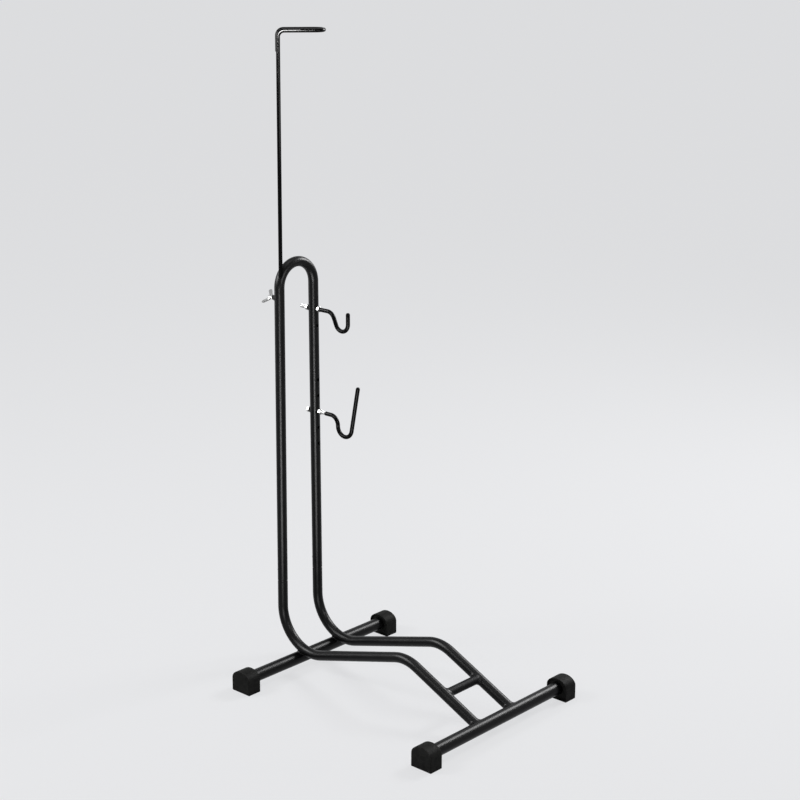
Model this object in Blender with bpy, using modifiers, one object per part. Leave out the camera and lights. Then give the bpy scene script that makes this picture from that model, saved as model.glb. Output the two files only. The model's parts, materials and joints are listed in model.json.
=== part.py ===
"""Upright bicycle parking stand.

Two bent tubes stand on a pair of cross tubes with a moulded foot on each end.
A hairpin of the same tube plugs onto them and makes the two uprights.
A hooked rod slides and swivels in the right upright under a wing bolt.
Two J hooks are bolted through the row of holes in the left upright.
The origin is on the floor under the middle of the stand's box.
+X points forward, from the uprights to the front cross tube, and +Y points left.
"""

import math

import bmesh
import bpy
from mathutils import Matrix, Vector

# Sizes of the frame, in metres, with angles in degrees.
CROSS_TUBE_SPACING = 0.600
CROSS_TUBE_DIAMETER = 0.032
CROSS_TUBE_WALL = 0.0015
CROSS_TUBE_HEIGHT = 0.030
OVERALL_WIDTH = 0.542
MAIN_TUBE_DIAMETER = 0.0254
MAIN_TUBE_WALL = 0.0012
BASE_SPREAD = 0.126
ARCH_SPREAD = 0.117
UPRIGHT_SETBACK = 0.060
REAR_BEND_RADIUS = 0.105
FRONT_BEND_RADIUS = 0.100
RISE_ANGLE = 16.0
FALL_ANGLE = 25.0
BRACE_DIAMETER = 0.0222
BRACE_WALL = 0.0012
BRACE_SETBACK = 0.1085

# The slip joint between the base tubes and the hairpin.
JOINT_HEIGHT = 0.226
SPIGOT_LENGTH = 0.050
SPIGOT_TAPER = 0.004
ARCH_CENTRE_HEIGHT = 0.987
JOINT_SCREW_HEIGHT = 0.025
JOINT_SCREW_DIAMETER = 0.005
JOINT_SCREW_HEAD_DIAMETER = 0.010
JOINT_SCREW_CROWN_DIAMETER = 0.004
JOINT_SCREW_HEAD_HEIGHT = 0.0028
JOINT_SCREW_GRIP = 0.007

# The moulded feet.
FOOT_WIDTH = 0.061
FOOT_LENGTH = 0.039
FOOT_HEIGHT = 0.056
FOOT_SIDE_HEIGHT = 0.034
FOOT_END_WALL = 0.006
FOOT_EDGE_RADIUS = 0.0018

# The hooked rod and the guide on its lower end.
ROD_DIAMETER = 0.010
ROD_OFFSET = 0.005
ROD_LENGTH = 0.986
ROD_BEND_RADIUS = 0.015
LOOP_ABOVE_ARCH = 0.619
LOOP_LENGTH = 0.110
LOOP_WIDTH = 0.046
LOOP_TIP_DROP = 0.054
LOOP_HEADING = 48.5
GUIDE_LENGTH = 0.030
GUIDE_FLOOR = 0.004

# The wing bolt and the boss that it screws into.
CLAMP_BELOW_ARCH = 0.026
BOSS_DIAMETER = 0.017
BOSS_LENGTH = 0.009
WING_HUB_DIAMETER = 0.012
WING_HUB_LENGTH = 0.014
WING_HUB_TOP_DIAMETER = 0.0096
WING_HUB_CHAMFER = 0.0012
WING_ROOT_LOW = 0.003
WING_ROOT_HIGH = 0.0124
WING_SPAN = 0.042
WING_RISE = 0.026
WING_TIP_RADIUS = 0.0045
WING_THICKNESS = 0.0028
WING_TURN = -50.0

# The J hooks, with their threaded shanks, nuts and saddles.
THREAD_DIAMETER = 0.008
THREAD_CHAMFER = 0.0012
HOOK_BEND_RADIUS = 0.024
HOOK_SLEEVE_WALL = 0.0010
HOOK_TIP_WALL = 0.0015
HOOK_TIP_ROUNDING = 0.0035
HOOK_TIP_TAPER = 0.6
UPPER_HOOK_BELOW_ARCH = 0.070
UPPER_THREAD_TAIL = 0.045
UPPER_HOOK_REACH = 0.049
UPPER_HOOK_DIP = 65.0
UPPER_HOOK_DROP = 0.0195
UPPER_HOOK_RADIUS = 0.021
UPPER_HOOK_SWEEP = 155.0
UPPER_HOOK_TIP = 0.024
UPPER_SLEEVE_START = 0.0235
HOOK_SPACING = 0.267
LOWER_THREAD_TAIL = 0.030
LOWER_HOOK_REACH = 0.057
LOWER_HOOK_DIP = 89.0
LOWER_HOOK_DROP = 0.001
LOWER_HOOK_RADIUS = 0.024
LOWER_HOOK_SWEEP = 168.0
LOWER_HOOK_TIP = 0.115
LOWER_SLEEVE_START = 0.0385
HOLE_PITCH = 0.042
HOLES_BELOW_UPPER_HOOK = 1
HOLES_ABOVE_LOWER_HOOK = 2
HOLES_BELOW_LOWER_HOOK = 2
NUT_ACROSS_FLATS = 0.013
NUT_THICKNESS = 0.0065
SADDLE_DIAMETER = 0.018
FRONT_SADDLE_THICKNESS = 0.0025
REAR_SADDLE_THICKNESS = 0.0050

# Welds, and the clearance left between pieces that touch.
BEAD_RADIUS = 0.0028
BEAD_LIFT = 0.0008
REAR_WELD_REACH = 0.0084
CLEARANCE = 0.0003

# How finely round shapes are drawn.
TUBE_SIDES = 16
WIRE_SIDES = 12
HOLE_SIDES = 12
BEAD_SIDES = 6
BEAD_STEPS = 20
ARCH_STEPS = 10
BEND_STEP = 12.0
CROWN_STEPS = 3
WING_TIP_STEPS = 6
FOOT_EDGE_STEPS = 2
SHARP_ANGLE = 35.0
CUTTER_TWIST = 6.0

# Radii that follow from the sizes above.
CROSS_RADIUS = CROSS_TUBE_DIAMETER / 2
MAIN_RADIUS = MAIN_TUBE_DIAMETER / 2
BORE_RADIUS = MAIN_RADIUS - MAIN_TUBE_WALL
BRACE_RADIUS = BRACE_DIAMETER / 2
SPIGOT_RADIUS = BORE_RADIUS - CLEARANCE
ROD_RADIUS = ROD_DIAMETER / 2
THREAD_RADIUS = THREAD_DIAMETER / 2
SLEEVE_RADIUS = THREAD_RADIUS + CLEARANCE + HOOK_SLEEVE_WALL

# Heights that follow the top of the hairpin.
LOOP_HEIGHT = ARCH_CENTRE_HEIGHT + LOOP_ABOVE_ARCH
ROD_BOTTOM_HEIGHT = LOOP_HEIGHT - ROD_LENGTH
CLAMP_HEIGHT = ARCH_CENTRE_HEIGHT - CLAMP_BELOW_ARCH
UPPER_HOOK_HEIGHT = ARCH_CENTRE_HEIGHT - UPPER_HOOK_BELOW_ARCH
LOWER_HOOK_HEIGHT = UPPER_HOOK_HEIGHT - HOOK_SPACING

# Places that follow from them, measured forward from the middle of the box.
FRONT_REACH = CROSS_TUBE_SPACING / 2 + FOOT_WIDTH / 2
CLAMP_REACH = MAIN_RADIUS + CLEARANCE + BOSS_LENGTH + CLEARANCE + WING_RISE
TAIL_REACH = max(CLAMP_REACH, UPPER_THREAD_TAIL, LOWER_THREAD_TAIL)
REAR_REACH = CROSS_TUBE_SPACING / 2 + UPRIGHT_SETBACK + TAIL_REACH
CENTRE_X = (REAR_REACH - FRONT_REACH) / 2
FRONT_X = CENTRE_X + CROSS_TUBE_SPACING / 2
REAR_X = CENTRE_X - CROSS_TUBE_SPACING / 2
UPRIGHT_X = REAR_X - UPRIGHT_SETBACK
BASE_Y = BASE_SPREAD / 2
SIDES = {"left": 1, "right": -1}
HOOKS = (
    ("upper_hook", UPPER_HOOK_HEIGHT, UPPER_THREAD_TAIL, UPPER_HOOK_REACH, UPPER_SLEEVE_START,
     (UPPER_HOOK_DIP, UPPER_HOOK_DROP, UPPER_HOOK_RADIUS, UPPER_HOOK_SWEEP, UPPER_HOOK_TIP)),
    ("lower_hook", LOWER_HOOK_HEIGHT, LOWER_THREAD_TAIL, LOWER_HOOK_REACH, LOWER_SLEEVE_START,
     (LOWER_HOOK_DIP, LOWER_HOOK_DROP, LOWER_HOOK_RADIUS, LOWER_HOOK_SWEEP, LOWER_HOOK_TIP)),
)
FORWARD = Vector((1, 0, 0))
LEFT = Vector((0, 1, 0))
UP = Vector((0, 0, 1))

# The rear bend rests on the rear cross tube, and above it the uprights lean together.
BEND_X = UPRIGHT_X + REAR_BEND_RADIUS
BEND_REACH = REAR_BEND_RADIUS + MAIN_RADIUS + CLEARANCE + CROSS_RADIUS
BEND_Z = CROSS_TUBE_HEIGHT + math.sqrt(BEND_REACH ** 2 - (BEND_X - REAR_X) ** 2)
LEAN = math.atan2((BASE_SPREAD - ARCH_SPREAD) / 2, ARCH_CENTRE_HEIGHT - BEND_Z)


def clear_scene():
    """Remove whatever the scene holds."""
    for old in list(bpy.data.objects):
        bpy.data.objects.remove(old, do_unlink=True)


def make_collection(name):
    """Add a collection to the scene."""
    collection = bpy.data.collections.new(name)
    bpy.context.scene.collection.children.link(collection)
    return collection


def finish(obj, colour, roughness, metallic):
    """Give an object a material of its own."""
    material = bpy.data.materials.new(obj.name + "_finish")
    material.use_nodes = True
    shader = material.node_tree.nodes["Principled BSDF"]
    shader.inputs["Base Color"].default_value = (*colour, 1.0)
    shader.inputs["Roughness"].default_value = roughness
    shader.inputs["Metallic"].default_value = metallic
    obj.data.materials.clear()
    obj.data.materials.append(material)
    return obj


def black_paint(obj):
    """Satin black stove enamel on steel."""
    return finish(obj, (0.012, 0.012, 0.014), 0.34, 0.0)


def black_vinyl(obj):
    """Soft black dip coating."""
    return finish(obj, (0.010, 0.010, 0.011), 0.5, 0.0)


def black_plastic(obj):
    """Matt black moulded plastic."""
    return finish(obj, (0.018, 0.018, 0.018), 0.65, 0.0)


def bright_zinc(obj):
    """Bright zinc plate on steel."""
    return finish(obj, (0.72, 0.72, 0.70), 0.28, 1.0)


def add_object(name, data, place=(0, 0, 0), collection=None):
    """Put mesh or curve data in the scene as one object."""
    obj = bpy.data.objects.new(name, data)
    obj.location = place
    (collection or PARTS).objects.link(obj)
    return obj


def smooth(obj):
    """Shade round faces smooth and keep the sharp edges sharp."""
    obj.data.shade_smooth()
    obj.data.set_sharp_from_angle(angle=math.radians(SHARP_ANGLE))
    return obj


def cylinder(name, start, end, radius, sides=TUBE_SIDES, collection=None, capped=True, twist=0.0):
    """A round bar between two points, or an open tube surface if it has no caps."""
    start, end = Vector(start), Vector(end)
    mesh = bpy.data.meshes.new(name)
    shape = bmesh.new()
    bmesh.ops.create_cone(shape, cap_ends=capped, segments=sides, radius1=radius, radius2=radius,
                          depth=(end - start).length, matrix=Matrix.Rotation(math.radians(twist), 4, "Z"))
    shape.to_mesh(mesh)
    shape.free()
    obj = add_object(name, mesh, (start + end) / 2, collection)
    obj.rotation_mode = "QUATERNION"
    obj.rotation_quaternion = (end - start).to_track_quat("Z", "Y")
    return smooth(obj)


def wire_points(start, heading, moves):
    """Follow a bent wire, whose moves are a length, or a radius, an angle and an axis."""
    points = [Vector(start)]
    heading = Vector(heading).normalized()
    for move in moves:
        if len(move) == 1:
            points.append(points[-1] + heading * move[0])
            continue
        radius, angle, axis = move
        centre = points[-1] + axis.cross(heading) * radius
        arm = points[-1] - centre
        steps = max(1, round(angle / BEND_STEP))
        for step in range(1, steps + 1):
            points.append(centre + Matrix.Rotation(math.radians(angle * step / steps), 3, axis) @ arm)
        heading = Matrix.Rotation(math.radians(angle), 3, axis) @ heading
    return points


def sweep(name, points, radius, sides, place=(0, 0, 0), collection=None, capped=True,
          head=(), tail=(), closed=False):
    """A round wire along points, whose first and last points may be narrower."""
    curve = bpy.data.curves.new(name, "CURVE")
    curve.dimensions = "3D"
    curve.bevel_depth = radius
    curve.bevel_resolution = sides // 2 - 2
    curve.use_fill_caps = capped
    spline = curve.splines.new("POLY")
    spline.points.add(len(points) - 1)
    scales = list(head) + [1.0] * (len(points) - len(head) - len(tail)) + list(tail)
    for spot, point, scale in zip(spline.points, points, scales):
        spot.co = (*(Vector(point) - Vector(place)), 1.0)
        spot.radius = scale
    spline.use_cyclic_u = closed
    return add_object(name, curve, place, collection)


def as_mesh(obj):
    """Turn a curve object into a mesh object of the same name, with its caps joined on."""
    name = obj.name
    bpy.context.view_layer.update()
    shown = obj.evaluated_get(bpy.context.evaluated_depsgraph_get())
    mesh = bpy.data.meshes.new_from_object(shown)
    shape = bmesh.new()
    shape.from_mesh(mesh)
    bmesh.ops.remove_doubles(shape, verts=shape.verts, dist=0.000001)
    shape.to_mesh(mesh)
    shape.free()
    solid = bpy.data.objects.new(name + "_mesh", mesh)
    solid.matrix_world = obj.matrix_world
    for collection in obj.users_collection:
        collection.objects.link(solid)
    bpy.data.objects.remove(obj, do_unlink=True)
    solid.name = name
    return smooth(solid)


def hollow(obj, wall):
    """Give an open tube surface its wall, inwards."""
    shell = obj.modifiers.new("wall", "SOLIDIFY")
    shell.thickness = wall
    shell.offset = -1.0
    shell.use_even_offset = True
    return obj


def combine(obj, tool, operation):
    """Cut an object with a tool, or join the tool to it."""
    step = obj.modifiers.new(tool.name, "BOOLEAN")
    step.operation = operation
    step.object = tool
    step.solver = "EXACT"
    return obj


def cut(obj, *tools):
    """Cut an object with each tool in turn."""
    for tool in tools:
        combine(obj, tool, "DIFFERENCE")
    return obj


def join(obj, *tools):
    """Join each tool to an object."""
    for tool in tools:
        combine(obj, tool, "UNION")
    return obj


def as_tool(obj):
    """Mark an object as a cutter, which isn't part of the stand."""
    obj.hide_render = True
    obj.display_type = "WIRE"
    return obj


def bar_tool(name, start, end, radius, sides=HOLE_SIDES):
    """A round cutter between two points, turned so that its edges miss those of what it cuts."""
    return as_tool(cylinder(name, start, end, radius, sides, TOOLS, twist=CUTTER_TWIST))


def lathe(name, profile, steps, place, direction):
    """Turn a profile of radius and height pairs, listed from the top, about an axis."""
    mesh = bpy.data.meshes.new(name)
    shape = bmesh.new()
    spots = [shape.verts.new((radius, 0, height)) for radius, height in profile]
    for upper, lower in zip(spots, spots[1:]):
        shape.edges.new((upper, lower))
    shape.to_mesh(mesh)
    shape.free()
    obj = add_object(name, mesh, place)
    obj.rotation_mode = "QUATERNION"
    obj.rotation_quaternion = direction.to_track_quat("Z", "Y")
    turn = obj.modifiers.new("turn", "SCREW")
    turn.axis = "Z"
    turn.steps = steps
    turn.render_steps = steps
    turn.use_merge_vertices = True
    turn.merge_threshold = 0.00001
    turn.use_smooth_shade = True
    return obj


def leg(side, height):
    """A point on an upright's axis."""
    inward = max(height - BEND_Z, 0.0) * math.tan(LEAN)
    return Vector((UPRIGHT_X, side * (BASE_Y - inward), height))


def leg_heading(side):
    """The direction in which an upright goes up."""
    return UP * math.cos(LEAN) - LEFT * side * math.sin(LEAN)


def cross_tube(name, x):
    """A straight tube across the stand, whose ends go into the feet."""
    half = OVERALL_WIDTH / 2 - FOOT_END_WALL - CLEARANCE
    centre = Vector((x, 0, CROSS_TUBE_HEIGHT))
    tube = cylinder(name, centre - LEFT * half, centre + LEFT * half, CROSS_RADIUS, capped=False)
    black_paint(hollow(tube, CROSS_TUBE_WALL))
    reach = half + CLEARANCE
    return bar_tool(name + "_room", centre - LEFT * reach, centre + LEFT * reach,
                    CROSS_RADIUS + CLEARANCE, TUBE_SIDES)


def foot(name, x, side, socket):
    """A moulded block with a flat sole, an arched top and a blind socket for the cross tube."""
    half = FOOT_WIDTH / 2
    curve = bpy.data.curves.new(name, "CURVE")
    curve.dimensions = "2D"
    curve.fill_mode = "BOTH"
    curve.extrude = FOOT_LENGTH / 2
    outline = [(half, 0.0)]
    for step in range(ARCH_STEPS + 1):
        angle = math.pi * step / ARCH_STEPS
        rise = (FOOT_HEIGHT - FOOT_SIDE_HEIGHT) * math.sin(angle)
        outline.append((half * math.cos(angle), FOOT_SIDE_HEIGHT + rise))
    outline.append((-half, 0.0))
    spline = curve.splines.new("POLY")
    spline.points.add(len(outline) - 1)
    for spot, (across, height) in zip(spline.points, outline):
        spot.co = (across, height, 0.0, 1.0)
    spline.use_cyclic_u = True
    block = add_object(name, curve, (x, side * (OVERALL_WIDTH - FOOT_LENGTH) / 2, 0))
    block.rotation_euler = (math.pi / 2, 0, 0)
    block = as_mesh(block)
    edges = block.modifiers.new("edges", "BEVEL")
    edges.width = FOOT_EDGE_RADIUS
    edges.segments = FOOT_EDGE_STEPS
    edges.limit_method = "ANGLE"
    edges.angle_limit = math.radians(SHARP_ANGLE)
    return black_plastic(cut(block, socket))


def base_path(side):
    """The bent run of a base tube, from its spigot's top to the front cross tube."""
    rise, fall = math.radians(RISE_ANGLE), math.radians(FALL_ANGLE)
    low_x = BEND_X + REAR_BEND_RADIUS * math.sin(rise)
    low_z = BEND_Z - REAR_BEND_RADIUS * math.cos(rise)
    drop = low_z - CROSS_TUBE_HEIGHT
    gap = FRONT_X - low_x
    crest = (gap * math.tan(fall) - drop) / (math.tan(rise) + math.tan(fall))
    trim = FRONT_BEND_RADIUS * math.tan((rise + fall) / 2)
    upright = [leg(side, JOINT_HEIGHT + height) for height in (SPIGOT_LENGTH, 0.0, -SPIGOT_TAPER)]
    return upright + wire_points(leg(side, BEND_Z), -UP, [
        (REAR_BEND_RADIUS, 90.0 + RISE_ANGLE, -LEFT),
        (crest / math.cos(rise) - trim,),
        (FRONT_BEND_RADIUS, RISE_ANGLE + FALL_ANGLE, LEFT),
        ((gap - crest) / math.cos(fall) - trim,),
    ])


def base_tube(name, side, front_room):
    """A base tube with a narrowed spigot on top and a front end shaped to the cross tube."""
    points = base_path(side)
    neck = SPIGOT_RADIUS / MAIN_RADIUS
    tube = sweep(name, points, MAIN_RADIUS, TUBE_SIDES, capped=False, head=(neck, neck))
    tube = hollow(as_mesh(tube), MAIN_TUBE_WALL)
    screw = leg(side, JOINT_HEIGHT + JOINT_SCREW_HEIGHT)
    hole = bar_tool(name + "_screw_hole", screw, screw - FORWARD * MAIN_TUBE_DIAMETER,
                    JOINT_SCREW_DIAMETER / 2 + CLEARANCE)
    black_paint(cut(tube, front_room, hole))
    room = sweep(name + "_room", points, MAIN_RADIUS + CLEARANCE, TUBE_SIDES, collection=TOOLS,
                 head=(neck, neck))
    return as_tool(as_mesh(room)), hole


def brace_tube(name, rooms):
    """A short tube between the falling runs of the base tubes."""
    tube = cylinder(name, brace_centre() - LEFT * BASE_Y, brace_centre() + LEFT * BASE_Y, BRACE_RADIUS,
                    capped=False)
    return black_paint(cut(hollow(tube, BRACE_WALL), *rooms))


def fall_heading():
    """The direction in which the front runs of the base tubes go down."""
    fall = math.radians(FALL_ANGLE)
    return FORWARD * math.cos(fall) - UP * math.sin(fall)


def brace_centre():
    """The middle of the brace, on the line of the falling runs."""
    rise = BRACE_SETBACK * math.tan(math.radians(FALL_ANGLE))
    return Vector((FRONT_X - BRACE_SETBACK, 0, CROSS_TUBE_HEIGHT + rise))


def hook_holes():
    """Heights of the holes through the left upright, counted from the two hooks."""
    upper = [UPPER_HOOK_HEIGHT - HOLE_PITCH * step for step in range(HOLES_BELOW_UPPER_HOOK + 1)]
    lower = [LOWER_HOOK_HEIGHT + HOLE_PITCH * step
             for step in range(-HOLES_BELOW_LOWER_HOOK, HOLES_ABOVE_LOWER_HOOK + 1)]
    return upper + lower


def upright_hairpin(name, screw_holes):
    """The hairpin that makes both uprights, with its holes and the slot for the rod."""
    start = leg(-1, JOINT_HEIGHT + CLEARANCE)
    length = (ARCH_CENTRE_HEIGHT - start.z) / math.cos(LEAN)
    turn = (ARCH_SPREAD / 2 / math.cos(LEAN), 180.0 - 2 * math.degrees(LEAN), -FORWARD)
    points = wire_points(start, leg_heading(-1), [(length,), turn, (length,)])
    tube = sweep(name, points, MAIN_RADIUS, TUBE_SIDES, capped=False)
    tube = hollow(as_mesh(tube), MAIN_TUBE_WALL)
    reach = FORWARD * MAIN_TUBE_DIAMETER
    for number, height in enumerate(hook_holes()):
        centre = leg(1, height)
        cut(tube, bar_tool("hook_hole_%d" % (number + 1), centre - reach, centre + reach,
                           THREAD_RADIUS + CLEARANCE))
    centre = leg(-1, CLAMP_HEIGHT)
    clamp_hole = bar_tool("clamp_hole", centre, centre - reach, THREAD_RADIUS + CLEARANCE)
    slot_foot = rod_axis(ARCH_CENTRE_HEIGHT + MAIN_RADIUS)
    slot = bar_tool("rod_slot", slot_foot, slot_foot + leg_heading(-1) * ARCH_SPREAD,
                    ROD_RADIUS + 2 * CLEARANCE)
    return black_paint(cut(tube, clamp_hole, slot, *screw_holes))


def threaded_end(radius, tip):
    """The profile of a shank with a chamfered end, down from the face that it starts on."""
    return [(radius, 0), (radius, tip + THREAD_CHAMFER), (radius - THREAD_CHAMFER, tip), (0, tip)]


def joint_screw(name, side):
    """A pan-head screw that locks the hairpin to a spigot, from behind."""
    crown = JOINT_SCREW_CROWN_DIAMETER / 2
    brim = JOINT_SCREW_HEAD_DIAMETER / 2 - crown
    shank = JOINT_SCREW_DIAMETER / 2
    profile = [(0, JOINT_SCREW_HEAD_HEIGHT)]
    for step in range(CROWN_STEPS, -1, -1):
        angle = math.pi / 2 * step / CROWN_STEPS
        profile.append((crown + brim * math.cos(angle), JOINT_SCREW_HEAD_HEIGHT * math.sin(angle)))
    profile += threaded_end(shank, -JOINT_SCREW_GRIP)
    place = leg(side, JOINT_HEIGHT + JOINT_SCREW_HEIGHT) - FORWARD * (MAIN_RADIUS + CLEARANCE)
    return bright_zinc(lathe(name, profile, HOLE_SIDES, place, -FORWARD))


def clamp_boss(name, upright_room, bolt_room):
    """The round nut that is welded to the back of the right upright."""
    axis = leg(-1, CLAMP_HEIGHT)
    back = axis - FORWARD * (MAIN_RADIUS + CLEARANCE + BOSS_LENGTH)
    boss = cylinder(name, axis - FORWARD * MAIN_RADIUS / 2, back, BOSS_DIAMETER / 2)
    return black_paint(cut(boss, upright_room, bolt_room))


def wing_outline():
    """One wing, as distance from the bolt's axis and height above the boss."""
    tip_out = WING_SPAN / 2 - WING_TIP_RADIUS
    tip_up = WING_RISE - WING_TIP_RADIUS
    root = WING_HUB_DIAMETER / 4
    points = [(root, WING_ROOT_HIGH), (root, WING_ROOT_LOW)]
    lean = math.atan2(tip_up - WING_HUB_LENGTH / 2, tip_out)
    for step in range(WING_TIP_STEPS + 1):
        angle = lean + math.pi * (step / WING_TIP_STEPS - 0.5)
        points.append((tip_out + WING_TIP_RADIUS * math.cos(angle),
                       tip_up + WING_TIP_RADIUS * math.sin(angle)))
    return points


def wing(name, side, bolt):
    """A flat wing beside the hub, standing in the plane of the bolt's axis."""
    curve = bpy.data.curves.new(name, "CURVE")
    curve.dimensions = "2D"
    curve.fill_mode = "BOTH"
    curve.extrude = WING_THICKNESS / 2
    spline = curve.splines.new("POLY")
    outline = wing_outline()
    spline.points.add(len(outline) - 1)
    for spot, (out, height) in zip(spline.points, outline):
        spot.co = (side * out, height, 0.0, 1.0)
    spline.use_cyclic_u = True
    plate = add_object(name, curve, collection=TOOLS)
    stand_up = Matrix.Rotation(math.pi / 2, 4, "X")
    turn = Matrix.Rotation(math.radians(WING_TURN), 4, "Z")
    bpy.context.view_layer.update()
    plate.matrix_world = bolt.matrix_world @ turn @ stand_up
    return as_tool(as_mesh(plate))


def wing_bolt(name):
    """The bolt that presses the rod to its place, with a hub and two wings."""
    stand_off = MAIN_RADIUS + 2 * CLEARANCE + BOSS_LENGTH
    tip = -stand_off - (ROD_OFFSET - ROD_RADIUS - CLEARANCE)
    top = WING_HUB_TOP_DIAMETER / 2
    profile = [(0, WING_HUB_LENGTH), (top - WING_HUB_CHAMFER, WING_HUB_LENGTH),
               (top, WING_HUB_LENGTH - WING_HUB_CHAMFER), (WING_HUB_DIAMETER / 2, 0)]
    profile += threaded_end(THREAD_RADIUS, tip)
    bolt = lathe(name, profile, TUBE_SIDES, leg(-1, CLAMP_HEIGHT) - FORWARD * stand_off, -FORWARD)
    return bright_zinc(join(bolt, wing("wing_plate_1", 1, bolt), wing("wing_plate_2", -1, bolt)))


def rod_axis(height):
    """A point on the rod's axis, which runs beside that of the right upright."""
    return leg(-1, height) + FORWARD * ROD_OFFSET


def rod_guide(name):
    """The plastic plug that keeps the rod's lower end in line inside the upright."""
    axis = leg(-1, ROD_BOTTOM_HEIGHT - GUIDE_FLOOR)
    plug = cylinder(name, axis, axis + leg_heading(-1) * GUIDE_LENGTH, BORE_RADIUS - CLEARANCE,
                    2 * TUBE_SIDES)
    foot_of_rod = rod_axis(ROD_BOTTOM_HEIGHT - CLEARANCE)
    socket = bar_tool("rod_socket", foot_of_rod, foot_of_rod + leg_heading(-1) * 2 * GUIDE_LENGTH,
                      ROD_RADIUS + CLEARANCE, TUBE_SIDES)
    return black_plastic(cut(plug, socket))


def hook_rod(name):
    """The rod, folded over into a flat loop whose free end is turned down."""
    heading = math.radians(LOOP_HEADING)
    along = FORWARD * math.cos(heading) + LEFT * math.sin(heading)
    fold = UP.cross(along)
    straight = LOOP_LENGTH - ROD_BEND_RADIUS - LOOP_WIDTH / 2
    start = rod_axis(ROD_BOTTOM_HEIGHT)
    top = rod_axis(LOOP_HEIGHT - ROD_BEND_RADIUS)
    points = [start] + wire_points(top, UP, [
        (ROD_BEND_RADIUS, 90.0, fold),
        (straight,),
        (LOOP_WIDTH / 2, 180.0, UP),
        (straight,),
        (ROD_BEND_RADIUS, 90.0, -fold),
        (LOOP_TIP_DROP - ROD_BEND_RADIUS - HOOK_TIP_ROUNDING,),
        (HOOK_TIP_ROUNDING,),
    ])
    return black_paint(sweep(name, points, ROD_RADIUS, WIRE_SIDES, start, tail=(HOOK_TIP_TAPER,)))


def hook_moves(reach, dip, drop, radius, sweep_angle, tip):
    """The bends of a J hook, after the straight shank, seen from the stand's right side."""
    return [
        (reach,),
        (HOOK_BEND_RADIUS, dip, LEFT),
        (drop,),
        (radius, sweep_angle, -LEFT),
        (tip,),
        (HOOK_TIP_ROUNDING,),
    ]


def j_hook(name, height, tail_length, reach, sleeve_start, shape):
    """A threaded shank bent into a J, and the vinyl sleeve on the J."""
    place = leg(1, height)
    tail = place - FORWARD * tail_length
    moves = hook_moves(reach + tail_length, *shape)
    wire = sweep(name + "_wire", wire_points(tail, FORWARD, moves), THREAD_RADIUS, WIRE_SIDES, place,
                 tail=(HOOK_TIP_TAPER,))
    bright_zinc(wire)
    mouth = place + FORWARD * sleeve_start
    skin = wire_points(mouth, FORWARD, hook_moves(reach - sleeve_start, *shape))
    skin[-1] = skin[-1] + (skin[-1] - skin[-2]).normalized() * (HOOK_TIP_WALL + CLEARANCE)
    sleeve = as_mesh(sweep(name + "_sleeve", skin, SLEEVE_RADIUS, WIRE_SIDES, place, tail=(HOOK_TIP_TAPER,)))
    early = place + FORWARD * (sleeve_start - HOOK_TIP_ROUNDING)
    room = wire_points(early, FORWARD, hook_moves(reach - sleeve_start + HOOK_TIP_ROUNDING, *shape))
    room[-1] = room[-1] + (room[-1] - room[-2]).normalized() * CLEARANCE
    inside = sweep(name + "_room", room, THREAD_RADIUS + CLEARANCE, WIRE_SIDES, place, TOOLS,
                   tail=(HOOK_TIP_TAPER,))
    black_vinyl(cut(sleeve, as_tool(as_mesh(inside))))


def hook_hardware(name, height, upright_room, bolt_room):
    """The saddles and nuts that hold a hook's shank on both sides of the upright."""
    axis = leg(1, height)
    for end, way, thickness in (("front", FORWARD, FRONT_SADDLE_THICKNESS),
                                ("rear", -FORWARD, REAR_SADDLE_THICKNESS)):
        face = MAIN_RADIUS + CLEARANCE + thickness
        saddle = cylinder("%s_%s_saddle" % (name, end), axis + way * MAIN_RADIUS / 2, axis + way * face,
                          SADDLE_DIAMETER / 2)
        black_plastic(cut(saddle, upright_room, bolt_room))
        seat = face + CLEARANCE
        nut = cylinder("%s_%s_nut" % (name, end), axis + way * seat, axis + way * (seat + NUT_THICKNESS),
                       NUT_ACROSS_FLATS / math.sqrt(3), 6)
        bright_zinc(cut(nut, bolt_room))


def bead(name, points, *rooms):
    """A weld bead along a closed line, trimmed to the pieces that it joins."""
    ring = sweep(name, points, BEAD_RADIUS, BEAD_SIDES, closed=True)
    return black_paint(cut(as_mesh(ring), *rooms))


def ring_angles():
    """Angles of the points round a weld bead."""
    return [2 * math.pi * step / BEAD_STEPS for step in range(BEAD_STEPS)]


def rear_weld(name, side, *rooms):
    """The bead where a base tube's bend lies on the rear cross tube."""
    centre = Vector((BEND_X, side * BASE_Y, BEND_Z))
    seat = REAR_BEND_RADIUS + MAIN_RADIUS
    inward = (centre - Vector((REAR_X, centre.y, CROSS_TUBE_HEIGHT))).normalized()
    along = LEFT.cross(inward)
    points = []
    for angle in ring_angles():
        on_x = REAR_WELD_REACH * math.cos(angle)
        on_y = REAR_WELD_REACH * math.sin(angle)
        bend_rise = (on_y ** 2 / MAIN_RADIUS + on_x ** 2 / seat) / 2
        cross_fall = on_x ** 2 / CROSS_RADIUS / 2
        lift = (bend_rise - cross_fall) / 2
        points.append(centre - inward * (seat - lift) + along * on_x + LEFT * on_y)
    return bead(name, points, *rooms)


def branch_weld(name, joint, branch, branch_radius, main, main_radius, rooms):
    """The bead round a branch tube that ends square on a main tube."""
    side = main.cross(branch)
    points = []
    for angle in ring_angles():
        on_side = (branch_radius + BEAD_LIFT) * math.cos(angle)
        on_main = (branch_radius + BEAD_LIFT) * math.sin(angle)
        height = math.sqrt(max((main_radius + BEAD_LIFT) ** 2 - on_side ** 2, 0.0))
        points.append(joint + side * on_side + main * on_main + branch * height)
    return bead(name, points, *rooms)


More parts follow.
